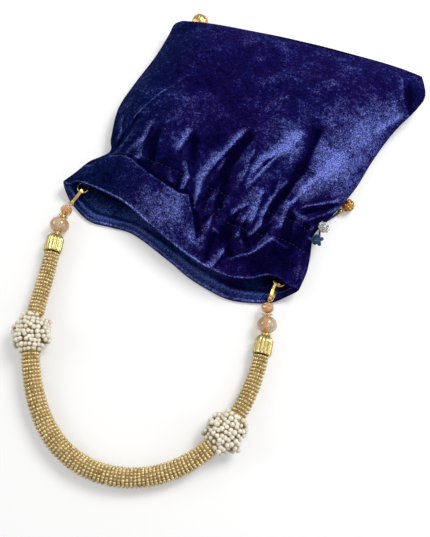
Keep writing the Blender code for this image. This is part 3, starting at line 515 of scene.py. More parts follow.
def velvet_material(name, bright, middle, dark, teal):
    """Navy velvet. Its Light input is a point attribute of painted light and shade, and tint says how far it
    turns to teal.
    """
    made, w, shader, where = new_material(name, Roughness=0.95, Sheen_Weight=0.13, Sheen_Roughness=0.35,
                                          Specular_IOR_Level=0.0)
    w.feed(shader.inputs["Sheen Tint"], (0.22, 0.26, 0.85))
    # painted light and shade, from -1 to 1, stored on the panels' points
    nap = w.add("ShaderNodeAttribute", attribute_name="nap").outputs["Fac"]
    tint = w.add("ShaderNodeAttribute", attribute_name="tint").outputs["Fac"]
    crushed = w.add("ShaderNodeGroup", node_tree=CRUSHED_AND_LIGHT)
    w.feed(crushed.inputs["Vector"], where)
    w.feed(crushed.inputs["Light"], nap)
    w.feed(crushed.inputs["Dark"], dark)
    mottle = w.line(w.noise(where, 34, 3, 0.6), 5.0, -2.1, clamp=True)
    w.feed(crushed.inputs["Middle"], w.mix(tint, w.mix(mottle, middle, PURPLE), teal))
    w.feed(crushed.inputs["Bright"], bright)
    w.feed(shader.inputs["Base Color"], crushed.outputs["Color"])
    bumped(w, shader, crushed.outputs["Height"], 0.0005)
    return made


def metal_material(name, polished, dull, scale=600.0, smooth=0.12, rough=0.32, depth=0.00008):
    """Metal that turns from polished and smooth to dull and rough in soft clouds, depth metres deep."""
    made, w, shader, where = new_material(name, Metallic=1.0)
    rubbed = w.add("ShaderNodeGroup", node_tree=RUBBED)
    for label, value in (("Vector", where), ("Polished", polished), ("Dull", dull), ("Scale", scale),
                         ("Smooth", smooth), ("Rough", rough)):
        w.feed(rubbed.inputs[label], value)
    w.feed(shader.inputs["Base Color"], rubbed.outputs["Color"])
    w.feed(shader.inputs["Roughness"], rubbed.outputs["Roughness"])
    bumped(w, shader, rubbed.outputs["Height"], depth)
    return made


def cloth_material(name, light, dark, scale):
    """Plain woven cloth or thread: fine crossed ribs from two waves."""
    made, w, shader, where = new_material(name, Roughness=0.6, Specular_IOR_Level=0.25)
    ribs = []
    for direction in ("X", "Y"):
        wave = w.add("ShaderNodeTexWave", {"Vector": where, "Scale": scale, "Distortion": 1.5},
                     bands_direction=direction)
        ribs.append(wave.outputs["Fac"])
    weave = w.math("MULTIPLY", ribs[0], ribs[1])
    share = w.math("ADD", w.line(weave, 0.5), w.line(w.noise(where, 90, 3), 0.5))
    w.feed(shader.inputs["Base Color"], w.mix(share, dark, light))
    bumped(w, shader, weave, 0.0002)
    return made


def glass_material(name, pale, deep, scale=190):
    """Glass with swirls of a deeper colour, and faint clouds in its roughness."""
    made, w, shader, where = new_material(name, Transmission_Weight=0.72, IOR=1.5, Coat_Weight=1.0,
                                          Coat_Roughness=0.04)
    cloud = w.noise(where, scale, 2)
    w.feed(shader.inputs["Base Color"], w.mix(w.line(cloud, 4.0, -1.5, clamp=True), deep, pale))
    w.feed(shader.inputs["Roughness"], w.line(cloud, 0.08, 0.02))
    return made


def pearl_material(name):
    """Pearls: cream, darker where the attribute tone is low, with faint pink clouds and a clear coat. The
    tone is each pearl's random tone times painted shade towards its sides.
    """
    made, w, shader, where = new_material(name, Roughness=0.22, Coat_Weight=1.0, Coat_Roughness=0.06)
    tone = w.add("ShaderNodeAttribute", attribute_name="tone").outputs["Fac"]
    cloud = w.noise(where, 500, 2)
    # the dark brown end stands for the painted shade on the pearls' sides
    cream = w.mix(tone, (0.36, 0.26, 0.11), (0.99, 0.93, 0.77))
    w.feed(shader.inputs["Base Color"], w.mix(w.line(cloud, 0.25), cream, (0.88, 0.80, 0.72)))
    return made


def seed_bead_material(name):
    """Seed beads: pale gold, each a little lighter or darker by its tone."""
    made, w, shader, where = new_material(name, Metallic=0.5, Coat_Weight=1.0, Coat_Roughness=0.14)
    tone = w.add("ShaderNodeAttribute", attribute_name="tone").outputs["Fac"]
    cloud = w.noise(where, 900, 1)
    w.feed(shader.inputs["Base Color"], w.mix(tone, (0.40, 0.25, 0.05), (0.90, 0.72, 0.36)))
    w.feed(shader.inputs["Roughness"], w.line(cloud, 0.15, 0.22))
    return made


# Each velvet's bright colour is the lit side of its painted light and its dark colour the painted shade; the
# crushed pattern reaches them too
VELVET_FINISH = velvet_material("navy_velvet", (0.155, 0.195, 0.60), (0.0060, 0.0046, 0.066),
                                (0.0014, 0.0009, 0.017), (0.0022, 0.0085, 0.052))
FACING_FINISH = velvet_material("facing_velvet", (0.06, 0.10, 0.36), (0.0060, 0.018, 0.100),
                                (0.0009, 0.002, 0.020), (0.0025, 0.010, 0.058))
LINING_FINISH = cloth_material("navy_lining", (0.014, 0.014, 0.065), (0.006, 0.006, 0.03), 900)
THREAD_FINISH = cloth_material("navy_thread", (0.03, 0.035, 0.15), (0.006, 0.006, 0.04), 2500)
PALE_THREAD = cloth_material("pale_thread", (0.16, 0.21, 0.50), (0.05, 0.07, 0.26), 2500)
CORD_FINISH = cloth_material("blue_cord", (0.06, 0.14, 0.27), (0.008, 0.03, 0.10), 1800)
PADDING_FINISH = cloth_material("cream_padding", (0.55, 0.42, 0.22), (0.30, 0.20, 0.08), 1500)
BACKING_FINISH = cloth_material("beige_backing", (0.50, 0.37, 0.18), (0.28, 0.19, 0.08), 1500)
GOLD = metal_material("polished_gold", (0.93, 0.66, 0.25), (0.72, 0.43, 0.12))
PALE_GOLD = metal_material("pale_gold", (0.72, 0.62, 0.28), (0.50, 0.38, 0.13), 300, 0.24, 0.36, 0.00001)
ORANGE_GOLD = metal_material("orange_gold", (0.88, 0.50, 0.14), (0.45, 0.20, 0.04), 900, 0.18, 0.45)
SILVER = metal_material("bright_silver", (0.86, 0.86, 0.85), (0.55, 0.54, 0.52), 900, 0.10, 0.3)
GLASS = glass_material("peach_glass", (1.0, 0.86, 0.64), (1.0, 0.58, 0.24))
SMALL_GLASS = glass_material("amber_glass", (1.0, 0.78, 0.50), (0.95, 0.48, 0.16), 320)
CRYSTAL = glass_material("clear_crystal", (0.98, 0.98, 0.98), (0.80, 0.80, 0.80), 700)
PEARL_FINISH = pearl_material("cream_pearl")
SEED_BEADS = seed_bead_material("seed_beads")

# Velvet

# Folds of the gathered neck as the photo shows them: each from one pixel to another, then its half
# width and its height in millimetres.
FOLDS = np.array((
    (153, 129, 145, 143, 2.6, 1.6), (143, 148, 139, 160, 4.2, 2.4), (191, 139, 181, 151, 3.4, 2.6),
    (187, 166, 189, 179, 2.0, 1.8), (189, 179, 184, 190, 2.0, 1.8), (171, 173, 173, 184, 2.6, 1.6),
    (245, 138, 218, 165, 3.0, 3.0), (214, 169, 203, 182, 3.4, 2.6), (203, 182, 197, 202, 3.0, 2.6),
    (225, 165, 221, 172, 1.6, 1.4), (253, 159, 243, 182, 2.4, 1.6), (298, 143, 282, 160, 5.0, 3.4),
    (282, 160, 264, 165, 3.6, 2.6), (264, 165, 257, 173, 2.6, 2.2), (272, 167, 251, 187, 3.2, 2.2),
    (287, 186, 273, 200, 1.7, 2.2), (273, 200, 265, 214, 1.6, 2.4), (265, 214, 260, 228, 1.7, 2.4),
    (262, 197, 253, 221, 3.4, 2.4), (246, 207, 236, 213, 2.2, 1.8), (236, 213, 233, 219, 1.8, 1.4),
    (221, 185, 215, 205, 1.5, 1.6), (214, 213, 210, 226, 2.8, 2.2), (210, 226, 218, 233, 2.4, 1.8),
    (245, 221, 239, 236, 1.9, 2.0), (239, 236, 245, 248, 2.0, 2.0), (259, 229, 251, 236, 1.8, 1.6),
    (228, 242, 223, 253, 2.2, 1.9), (223, 253, 212, 265, 2.6, 1.9), (233, 257, 252, 253, 1.8, 1.6),
    (252, 253, 272, 240, 2.2, 2.0), (272, 240, 286, 246, 2.4, 1.6), (289, 207, 282, 227, 2.2, 2.0),
    (299, 214, 314, 221, 3.4, 1.6), (289, 207, 303, 195, 1.9, 2.2), (303, 195, 339, 162, 5.2, 3.0),
    (306, 207, 339, 197, 1.6, 1.8), (314, 216, 341, 203, 1.7, 1.6), (304, 252, 300, 272, 3.0, 1.2),
    (204, 257, 214, 266, 2.4, 1.2), (381, 128, 403, 112, 3.5, 1.4), (405, 78, 406, 95, 1.5, 1.3),
    (406, 95, 413, 108, 1.5, 1.3), (124, 133, 137, 116, 1.1, 0.8), (137, 116, 161, 98, 1.3, 0.7),
    (161, 98, 192, 79, 1.8, 0.5), (122, 116, 120, 134, 1.8, 1.1),
))
# Hollows in the same way
HOLLOWS = np.array((
    (319, 138, 303, 172, 4.6, 3.2), (303, 172, 284, 197, 3.2, 3.0), (284, 197, 268, 220, 2.6, 2.8),
    (251, 143, 236, 161, 3.4, 2.6), (236, 161, 226, 183, 3.0, 2.8), (226, 183, 220, 207, 2.8, 2.8),
    (220, 207, 206, 220, 2.4, 2.2), (197, 145, 195, 164, 3.6, 2.2), (161, 134, 154, 154, 3.2, 2.0),
    (154, 154, 150, 171, 2.8, 2.2), (182, 175, 179, 187, 2.0, 1.8), (195, 185, 193, 205, 1.8, 2.0),
    (211, 190, 204, 208, 2.0, 2.2), (279, 160, 265, 169, 1.1, 1.2), (265, 169, 253, 182, 1.2, 1.2),
    (276, 187, 272, 199, 1.6, 1.6), (233, 219, 228, 236, 3.4, 2.6), (228, 236, 231, 252, 3.0, 2.4),
    (244, 228, 249, 244, 2.2, 2.2), (269, 228, 256, 243, 2.2, 2.0), (214, 238, 207, 258, 2.8, 2.2),
    (293, 219, 289, 239, 3.2, 2.2), (198, 216, 201, 233, 2.2, 1.8), (240, 212, 235, 222, 1.3, 1.2),
    (308, 211, 338, 200, 1.3, 1.4), (310, 224, 304, 236, 3.0, 1.8), (414, 85, 416, 103, 3.6, 2.2),
    (118, 138, 136, 120, 2.2, 1.2), (128, 158, 158, 180, 1.2, 1.4),
))
# The collar's upper edge on the left, in millimetres on the bag: a smooth band folded over the gathers
COLLAR_EDGE = np.array(((-110, -19), (-89, -17.7), (-84, -11.3), (-77.6, -7.4), (-71.7, -6.1), (-65, -6.1),
                        (-56.3, -10), (-46.5, -13.7), (-31.6, -18.5), (-19.8, -21.8), (-13.2, -20.9),
                        (-9.4, -26.8), (-5.3, -33.6), (-1.1, -41), (2.6, -49), (5, -80)))
COLLAR_STEP = 1.9
RIM_RADIUS = 0.95
TOPSTITCH = 0.34           # place of the line stitched round the inside of the mouth
FACING_ENDS = 1.75         # place where the velvet facing gives way to the lining cloth
STITCH_ROWS = (2.0, 3.0)
ROW_SPACING = 13.0         # millimetres from one stitch row to the other
ROW_WIDTH = 1.82
ROW_DEPTH = 1.3
CREST_HEIGHT = 24.0        # level at which the pixels of folds are read
LEAN = 0.3                 # how much steeper a fold is on its right-hand side
# Wider patches of painted light and shade, where the photo's velvet is light or dark: pixel, radius in
# millimetres, light
PAINTED_LIGHT_PATCHES = np.array((
    (167, 212, 13, 0.52), (174, 206, 8, 0.15), (150, 196, 11, 0.2), (196, 238, 9, 0.3),
    (190, 232, 5, 0.2), (334, 166, 19, 0.66), (362, 138, 15, 0.46), (296, 148, 12, 0.3),
    (376, 120, 12, 0.35), (288, 156, 9, 0.3), (390, 104, 9, 0.35), (276, 128, 13, 0.2),
    (260, 176, 10, 0.25), (256, 208, 9, 0.2), (232, 88, 26, -0.18), (180, 60, 22, -0.12),
    (250, 118, 20, -0.12), (214, 142, 10, -0.35), (165, 168, 9, -0.5), (222, 186, 8, -0.35),
    (236, 228, 9, -0.35), (205, 222, 7, -0.4), (296, 232, 10, -0.45), (322, 206, 9, -0.3),
    (290, 256, 12, -0.45), (260, 268, 12, -0.45), (412, 92, 6, -0.4), (118, 172, 15, -0.1),
    (90, 172, 12, -0.1), (222, 245, 8, -0.35), (262, 96, 16, 0.12), (200, 110, 12, 0.1),
    (330, 110, 18, 0.1), (305, 268, 6, 0.3), (184, 150, 8, 0.15), (196, 190, 8, 0.12),
))


# Slow waves of the loose cloth: length, direction, height, phase
SLACK = ((74, 1.2, 0.55, 0.3), (51, 2.2, 0.35, 1.9), (38, 0.4, 0.25, 4.0), (27, 1.7, 0.12, 2.2))
# Slopes that fall this way get painted light, and those that fall the other way painted shade
PAINTED_LIGHT_SLOPE = (-0.90, 0.42)  # slopes that fall this way show the pile's light side


def beside(x, y, row):
    """How much of a fold is felt at x, y: exp(-(distance / width) ** 1.7), easing off past its ends."""
    start = under_pixel(row[0], row[1], CREST_HEIGHT)[:2]
    end = under_pixel(row[2], row[3], CREST_HEIGHT)[:2]
    heading = end - start
    length = np.linalg.norm(heading)
    heading = heading / length
    ahead = (x - start[0]) * heading[0] + (y - start[1]) * heading[1]
    off = (x - start[0]) * heading[1] - (y - start[1]) * heading[0]
    past = np.maximum(np.maximum(-ahead, ahead - length), 0)
    width = row[4] * (0.86 + LEAN * np.tanh(off / 0.8))
    return np.exp(-(np.abs(off) / width) ** 1.7 - (past / (0.8 * row[4] + 1.2)) ** 2)


def collar_band(x, y, softness):
    """1 on the folded collar and 0 past its edge."""
    return ramp(np.interp(x, COLLAR_EDGE[:, 0], COLLAR_EDGE[:, 1]) - y, -softness, softness)


def waves(x, y, table):
    """A sum of sines over the cloth: height * sin(2 pi (x cos d + y sin d) / length + phase)."""
    total = 0 * x
    for length, direction, height, phase in table:
        total = total + height * np.sin(2 * pi * (x * cos(direction) + y * sin(direction)) / length + phase)
    return total


def pleats(x, y):
    """Small pleats between the folds: |cos| ridges across a slanted, wavering line, near the stitch rows."""
    lean = x * cos(0.42) - y * sin(0.42) + 2.2 * np.sin(y / 7.5 + x / 23) + 1.3 * np.sin(x / 6.1)
    near = ramp(y, -46, -22) * (1 - ramp(y, 6, 24)) * ramp(96 - x, 10, 30)
    return 1.1 * near * (np.abs(np.cos(lean * pi / 9.5)) ** 1.6 - 0.5) * (0.6 + 0.4 * np.sin(x / 11.0 + 1))


def fold_height(x, y):
    """Height that the folds, hollows, collar and slack add to the back panel."""
    collar = collar_band(x, y, 0.7)
    folds = sum(row[5] * beside(x, y, row) for row in FOLDS)
    hollows = sum(row[5] * beside(x, y, row) for row in HOLLOWS)
    inside = ramp(y, -2, 12)
    calm = 1 - 0.85 * collar_band(x, y, 2.0)
    return ((folds - 0.8 * hollows + pleats(x, y)) * calm + COLLAR_STEP * collar
            + waves(x, y, SLACK) * (0.4 + 0.6 * inside))


def row_height(places):
    """The stitch rows draw the cloth in: -depth exp(-(distance / width) ** 2) at each row."""
    return sum(-ROW_DEPTH * bump((places - row) * ROW_SPACING, ROW_WIDTH) for row in STITCH_ROWS)


def painted_light_and_shade(x, y):
    """Painted light and shade, -1 to 1: painted highlights on folds, painted shade in hollows, both by slope
    and over wider patches, and a painted highlight on the collar's edge with a painted shadow past it.
    """
    step = 0.25
    here = fold_height(x, y)
    rise_x, rise_y = (fold_height(x + step, y) - here) / step, (fold_height(x, y + step) - here) / step
    # painted highlights on folds and painted shade in hollows
    light = sum(0.21 * row[5] * beside(x, y, row) for row in FOLDS)
    light = light - sum(0.25 * row[5] * beside(x, y, row) for row in HOLLOWS)
    # painted light on slopes that fall one way and painted shade on those that fall the other
    light = light + 0.55 * np.clip(-rise_x * PAINTED_LIGHT_SLOPE[0] - rise_y * PAINTED_LIGHT_SLOPE[1], -1, 0.7)
    light = light * (1 - 0.9 * collar_band(x, y, 1.0))
    # painted light and shade over the wider patches
    for px, py, radius, value in PAINTED_LIGHT_PATCHES:
        there = under_pixel(px, py, CREST_HEIGHT)
        light = light + value * np.exp(-((x - there[0]) ** 2 + (y - there[1]) ** 2) / radius ** 2)
    # a painted highlight along the collar's edge, and the painted shadow it casts on the gathers past it
    edge = np.interp(x, COLLAR_EDGE[:, 0], COLLAR_EDGE[:, 1]) - y
    light = light + 0.35 * bump(edge - 0.8, 1.2) - 0.8 * bump(edge + 1.8, 1.6) * (x < 8)
    return np.clip(light - 0.07, -1, 1)


def teal_tint(x):
    """How far the velvet turns to teal, 0 to 1: towards its left side, and a little at the far right."""
    return ramp(-x, 30, 85) * 0.9 + 0.25 * ramp(x, 95, 118)


def row_places(count):
    """Places from mouth to base, closer together over the gathered neck."""
    share = np.linspace(0, 1, count)
    return np.interp(share, (0, 0.62, 1), (0, 5, LAST))


def back_panel():
    """The upper panel: panel() with its folds, and a second face VELVET deeper."""
    places, across = row_places(168), np.linspace(-1, 1, 196)
    outer = panel(places, across, True, relief=fold_height)
    inner = panel(places, across, True, VELVET, relief=fold_height)
    drawn = row_height(places)[:, None] * ramp(1 - np.abs(across), 0, 0.06)[None, :]
    drawn = drawn * (1 - collar_band(outer[..., 0], outer[..., 1], 1.0))
    outer[..., 2] += drawn
    inner[..., 2] = np.minimum(inner[..., 2] + drawn, outer[..., 2] - 0.4 * VELVET)
    shape = slab_shape(outer, inner)
    x, y = shape[0][:, 0], shape[0][:, 1]
    light = painted_light_and_shade(x, y)
    # painted highlight along the mouth's edge, added to the folds' painted light and shade
    rim = np.tile(np.repeat(bump(places, 0.16)[:, None], len(across), axis=1).ravel(), 2)
    piece("back_panel", shape, VELVET_FINISH, "bag", "velvet_shell",
          values={"nap": np.clip(light + 0.35 * rim, -1, 1), "tint": teal_tint(x)})


def front_panel():
    """The lower panel, flat on the table."""
    places, across = row_places(90), np.linspace(-1, 1, 110)
    outer = panel(places, across, False)
    inner = panel(places, across, False, VELVET)
    points, faces = slab_shape(outer, inner)
    shape = points, [face[:, ::-1] for face in faces]
    x, y = points[:, 0], points[:, 1]
    # painted light and shade: a low level overall, a painted highlight along the mouth's edge, and lighter
    # and darker with the slack waves
    rim = np.tile(np.repeat(bump(places, 0.2)[:, None], len(across), axis=1).ravel(), 2)
    light = -0.25 + 0.5 * rim + waves(x, y, SLACK) * 0.15
    piece("front_panel", shape, VELVET_FINISH, "bag", "velvet_shell",
          values={"nap": np.clip(light, -1, 1), "tint": teal_tint(x)})


def lining_depth(place):
    """How deep the lining lies: close under the velvet, but clear of the drawstring channel."""
    near = VELVET + GAP + LINING_EASE * np.minimum(1.0, place) + GATHER_DEPTH * blended(STATIONS, place)[:, 7]
    inside = ramp(1.1 - np.abs(place - 2.5), 0, 0.6)
    return near + (np.maximum(CHANNEL_INSET, near) - near) * inside


def sunk(x, y):
    """What of the velvet's relief the lining follows: the hollows, but not the folds."""
    return np.minimum(fold_height(x, y) - 0.2, 0)


def lining_panels():
    """The facing, velvet for its first stretch and plain lining deeper in, as one slab under each panel."""
    places = np.concatenate((np.linspace(0.12, 0.8, 28), np.linspace(0.88, 2, 16),
                             np.linspace(2.1, CORNER_STATION + 0.4, 44)))
    across = np.linspace(-1, 1, 90)
    depth = lining_depth(places)
    for name, upper, relief in (("back_lining", True, sunk), ("front_lining", False, None)):
        outer = panel(places, across, upper, depth, relief)
        inner = panel(places, across, upper, depth + LINING, relief)
        points, faces = slab_shape(outer, inner)
        if not upper:
            faces = [face[:, ::-1] for face in faces]
        row = np.tile(np.repeat(places[:, None], len(across), axis=1).ravel(), 2)
        every = np.concatenate([row[face].mean(axis=1) for face in faces])
        x, y = points[:, 0], points[:, 1]
        # painted light and shade on the facing: painted shade deeper into the mouth, lighter and darker with
        # the slack waves, and a painted highlight along the stitched line with painted shade just past it
        light = 0.20 - 0.6 * ramp(row, 0.4, 1.4) + waves(x, y, SLACK) * 0.35
        light = light + 0.55 * bump(row - TOPSTITCH, 0.07) - 0.5 * bump(row - TOPSTITCH - 0.14, 0.08)
        piece(name, (points, faces), FACING_FINISH, "bag", "lining",
              values={"nap": np.clip(light, -1, 1), "tint": teal_tint(x)},
              face_finish=(LINING_FINISH, every > FACING_ENDS))


def rolled_rim():
    """The turned edge of the mouth: a tube along both lips."""
    across = np.linspace(-1, 1, 150)
    ring = np.concatenate((panel([0.03], across, True, VELVET / 2, relief=fold_height)[0],
                           panel([0.03], across[::-1], False, VELVET / 2)[0][1:-1]))
    front = RIM_RADIUS + 0.5 * ramp(1 - np.abs(across[1:-1]), 0, 0.1)
    thick = np.concatenate((np.full(len(across), RIM_RADIUS), front))
    points, faces = tube(ring, thick, 12, closed=True)
    middle = np.repeat(ring, 12, axis=0)
    outward = (points - middle)[:, 1] / np.repeat(thick, 12)
    points[:, 2] = np.maximum(points[:, 2], 0.02)
    x, y = points[:, 0], points[:, 1]
    # painted light and shade: a painted highlight along the turned edge, painted shade on its side towards
    # -Y, and lighter and darker with the slack waves
    light = 0.4 + 0.9 * np.minimum(outward + 0.2, 0) + waves(x, y, SLACK) * 0.5
    piece("rolled_rim", (points, faces), VELVET_FINISH, "bag",
          values={"nap": np.clip(light, -1, 1), "tint": teal_tint(x)})


def stitches(points, normals, length, pitch, thick):
    """Short capsules of thread laid along a line on the cloth."""
    distance = np.concatenate([[0], np.cumsum(np.linalg.norm(np.diff(points, axis=0), axis=1))])
    where = np.arange(2.5, distance[-1] - 2.5, pitch)
    centre = np.stack([np.interp(where, distance, points[:, k]) for k in range(3)], axis=-1)
    ahead = np.stack([np.interp(where + 1, distance, points[:, k]) for k in range(3)], axis=-1) - centre
    z = ahead / np.linalg.norm(ahead, axis=1)[:, None]
    normal = np.stack([np.interp(where, distance, normals[:, k]) for k in range(3)], axis=-1)
    x = np.cross(normal, z)
    x /= np.linalg.norm(x, axis=1)[:, None]
    turns = np.stack((x, np.cross(z, x), z), axis=-1)
    dash = turned(ball_profile(thick, length / 2, 4), 6)
    return copies(dash, turns, centre + 0.12 * normal)


def stitch_rows():
    """The two rows that make the drawstring channel, and the row round the inside of the mouth."""
    across = np.linspace(-0.97, 0.97, 260)
    shapes = []
    for row in STITCH_ROWS:
        band = panel([row - 0.02, row, row + 0.02], across, True, relief=fold_height)
        points = band[1].copy()
        hidden = collar_band(points[:, 0], points[:, 1], 1.0)
        points[:, 2] -= ROW_DEPTH * (1 - hidden) * ramp(1 - np.abs(across), 0, 0.06)
        normals = np.cross(np.gradient(points, axis=0), band[2] - band[0])
        normals /= np.linalg.norm(normals, axis=1)[:, None]
        shown = hidden < 0.5
        shapes.append(stitches(points[shown], normals[shown], 1.9, 3.1, 0.28))
    piece("channel_stitches", together(*shapes), THREAD_FINISH, "bag")
    across = np.linspace(-0.9, 0.9, 220)
    beside_line = TOPSTITCH + np.array((-0.04, 0, 0.04))
    band = panel(beside_line, across, False, lining_depth(beside_line) + LINING)
    normals = np.cross(np.gradient(band[1], axis=0), band[2] - band[0])
    normals /= np.linalg.norm(normals, axis=1)[:, None]
    piece("mouth_stitches", stitches(band[1], normals, 1.6, 2.4, 0.26), PALE_THREAD, "bag")


back_panel()
front_panel()
lining_panels()
rolled_rim()
stitch_rows()

# Cords, knots and charms

TAIL_RADIUS = 0.8
KNOT_RADIUS, HIDDEN_KNOT_RADIUS = 3.9, 3.0
CHARM_RADIUS = 4.4
BALL_RADIUS, FILIGREE_RADIUS, SPACER_RADIUS = 6.6, 4.7, 1.9
GOLDEN_ANGLE = 2.39996
BALL_CENTRE, FILIGREE_CENTRE, SPACER_CENTRE = (-61.6, 130.4), (92.9, 19.2), (89.0, 13.8)
LEFT_CORD_PLACE, RIGHT_CORD_PLACE = 2.33, 2.72
LEFT_TAIL_WAY = ((-83, 4, 2.0), (-83, 26, 1.5), (-83.5, 50, 1.0), (-79.5, 76, 1.0), (-75.5, 100, 1.3),
                 (-72, 116, 2.7))
RIGHT_TAIL_WAY = (79.5, -2.0, 2.0)


def seam_point(side, place):
    """The point on a side seam at a place from the mouth."""
    return panel([place], [-1.0 if side == "left" else 1.0], True)[0, 0]


def knotted(centre, size, thick, heading):
    """A cord wound into a ball: ((R + a cos 3t) cos 2t, (R + a cos 3t) sin 2t, b sin 3t)."""
    t = np.linspace(0, 2 * pi, 120, endpoint=False)
    far = size * (0.56 + 0.26 * np.cos(3 * t))
    path = np.stack((far * np.cos(2 * t), far * np.sin(2 * t), 0.575 * size * np.sin(3 * t)), axis=-1)
    path = path @ facing(heading).T + centre
    return tube(path, thick, 12, closed=True, frames=steady_frames(path, True), strands=3, twist=1.1)


def twisted_tail(name, route, steps):
    """A twisted cord along a route: the piece, its path and its length."""
    path = smooth_route(route, steps)
    made = piece(name, tube(path, TAIL_RADIUS, 10, strands=3, twist=1.5), CORD_FINISH, "bag",
                 name.replace("_cord", ""))
    length = float(np.linalg.norm(np.diff(path, axis=0), axis=1).sum())
    return made, path, length


def right_charms():
    """The blue knot, the cluster of crystals, and the tail to the two gold beads under the bag's edge.

    The crystals sit on a ball: one on top, a ring of five and a ring of nine, each ring tilted further.
    """
    knot = seam_point("right", RIGHT_CORD_PLACE) + np.array((0.69, 0, 0.72)) * (KNOT_RADIUS + 2 * GAP)
    heart = turned(ball_profile(KNOT_RADIUS * 0.6, KNOT_RADIUS * 0.7, 8), 12)
    heading = (0.1, 1, 0.1)
    ball = together(knotted(knot, KNOT_RADIUS, 1.15, heading), placed(heart, facing(heading), knot))
    piece("right_cord_knot_wound", ball, CORD_FINISH, "bag", "right_cord_knot")

    charm = knot + np.array((1.0, KNOT_RADIUS * 1.15 + CHARM_RADIUS + GAP, 2.6))
    out = facing((0.3, 0.2, 1))
    cup = turned([(0.05, -3.4), (1.6, -3.2), (2.9, -1.9), (3.3, -0.6), (2.6, 0.2), (0.05, 0.5)], 24)
    stone = turned([(0.02, -0.7), (1.05, 0.0), (1.12, 0.25), (0.62, 0.8), (0.02, 0.85)], 8)
    claw = turned([(0.02, -0.9), (0.85, -0.8), (1.3, 0.1), (1.22, 0.3), (1.0, 0.1), (0.05, -0.4)], 12)
    turns, wheres = [], []
    for count, tilt, reach, start in ((1, 0.0, 3.1, 0), (5, 0.85, 3.2, 0.3), (9, 1.35, 3.4, 0)):
        for k in range(count):
            a = start + 2 * pi * k / count
            direction = np.array((sin(tilt) * cos(a), sin(tilt) * sin(a), cos(tilt)))
            turns.append(out @ facing(direction, (0.1, 0.2, 1)))
            wheres.append(charm + out @ (direction * reach * np.array((1, 1, 0.8))))
    setting = together(placed(cup, out, charm), copies(claw, turns, wheres))
    stones = copies(stone, turns, np.array(wheres) + 0.15 * np.array(turns)[:, :, 2])
    piece("charm_setting", setting, SILVER, "bag", "crystal_charm")
    piece("charm_stones", stones, CRYSTAL, "bag", "crystal_charm", smooth=False)

    spacer = np.array((*SPACER_CENTRE, SPACER_RADIUS + 0.9))
    filigree = np.array((*FILIGREE_CENTRE, FILIGREE_RADIUS + 0.05))
    along = (filigree - spacer) / np.linalg.norm(filigree - spacer)
    small = turned(ball_profile(SPACER_RADIUS, SPACER_RADIUS, 12, TAIL_RADIUS + GAP), 24,
                   lambda a, r, h: 1 + 0.05 * np.cos(8 * a) * (r > 1.3), bored=True)
    spacer_piece = piece("spacer_ball", placed(small, facing(along), spacer), ORANGE_GOLD, "bag",
                         "spacer_bead")
    filigree_piece = piece("filigree_ball", filigree_shape(filigree, along), ORANGE_GOLD, "bag",
                           "filigree_bead")
    stop = filigree - along * (FILIGREE_RADIUS + GAP)
    start = knot + np.array((-0.5, 0.6, -KNOT_RADIUS - 2 * GAP))
    route = (start, start + np.array((1.6, 3.0, -3.6)), RIGHT_TAIL_WAY, spacer - along * 5, spacer, stop)
    tail, path, length = twisted_tail("right_tail_cord", route, 90)
    return tail, path, length, [spacer_piece, filigree_piece]


def filigree_shape(centre, along):
    """Openwork: a wire ring and a dot in each of fourteen directions on a ball, over a smaller core.

    Direction k has the height 1 - 2 (k + 0.5) / 14, and each stands a golden angle round from the last.
    """
    core = turned(ball_profile(FILIGREE_RADIUS * 0.74, FILIGREE_RADIUS * 0.74, 12), 24)
    t = np.linspace(0, 2 * pi, 24, endpoint=False)
    loop = np.stack((1.45 * np.cos(t), 1.45 * np.sin(t), 0 * t), axis=-1)
    ring = tube(loop, 0.42, 6, closed=True)
    dot = turned(ball_profile(0.6, 0.6, 5), 8)
    k = np.arange(14)
    high = 1 - 2 * (k + 0.5) / len(k)
    around = k * GOLDEN_ANGLE
    level = np.sqrt(1 - high ** 2)
    spots = np.stack((level * np.cos(around), level * np.sin(around), high), axis=-1)
    turns = [facing(spot, (0.2, 0.3, 1)) for spot in spots]
    on_ball = spots * (FILIGREE_RADIUS - 0.75)
    ball = together(core, copies(ring, turns, on_ball), copies(dot, turns, on_ball))
    return placed(ball, facing(along), centre)


def left_charms():
    """The knot under the left seam, its tail under the bag's edge and the ribbed gold ball."""
    seam = seam_point("left", LEFT_CORD_PLACE)
    knot = np.array((seam[0] + HIDDEN_KNOT_RADIUS + 0.4, seam[1], HIDDEN_KNOT_RADIUS + 0.25))
    wound = piece("left_cord_knot_wound", knotted(knot, HIDDEN_KNOT_RADIUS, 0.95, (0.1, 1, 0)), CORD_FINISH,
                  "bag", "left_cord_knot")
    ball = np.array((*BALL_CENTRE, BALL_RADIUS + 0.05))
    heading = np.array((0.55, 0.83, 0))

    def ribbed(angle, radius, height):
        """Eighteen fine grooves that lean round the ball, and one round its middle."""
        lean = angle + 0.5 * height / BALL_RADIUS
        return 1 - 0.05 * np.abs(np.sin(9 * lean)) ** 6 - 0.03 * bump(height, 0.35) + 0.01

    body = turned(ball_profile(BALL_RADIUS, BALL_RADIUS, 40), 144, ribbed)
    collar = turned([(0.6, BALL_RADIUS - 0.6), (1.9, BALL_RADIUS - 0.45), (2.1, BALL_RADIUS - 0.1),
                     (1.3, BALL_RADIUS + 0.1), (0.6, BALL_RADIUS)], 24, bored=True)
    gold = piece("gold_ball_ribbed", placed(together(body, collar), facing(heading), ball), GOLD, "bag",
                 "gold_ball")
    start = knot + np.array((0.2, HIDDEN_KNOT_RADIUS * 1.15 + GAP, -0.6))
    unit = heading / np.linalg.norm(heading)
    stop = ball - unit * (BALL_RADIUS + GAP)
    route = (start, *LEFT_TAIL_WAY, stop - heading * 4, stop)
    tail, path, length = twisted_tail("left_tail_cord", route, 220)
    return tail, path, length, [wound, gold]


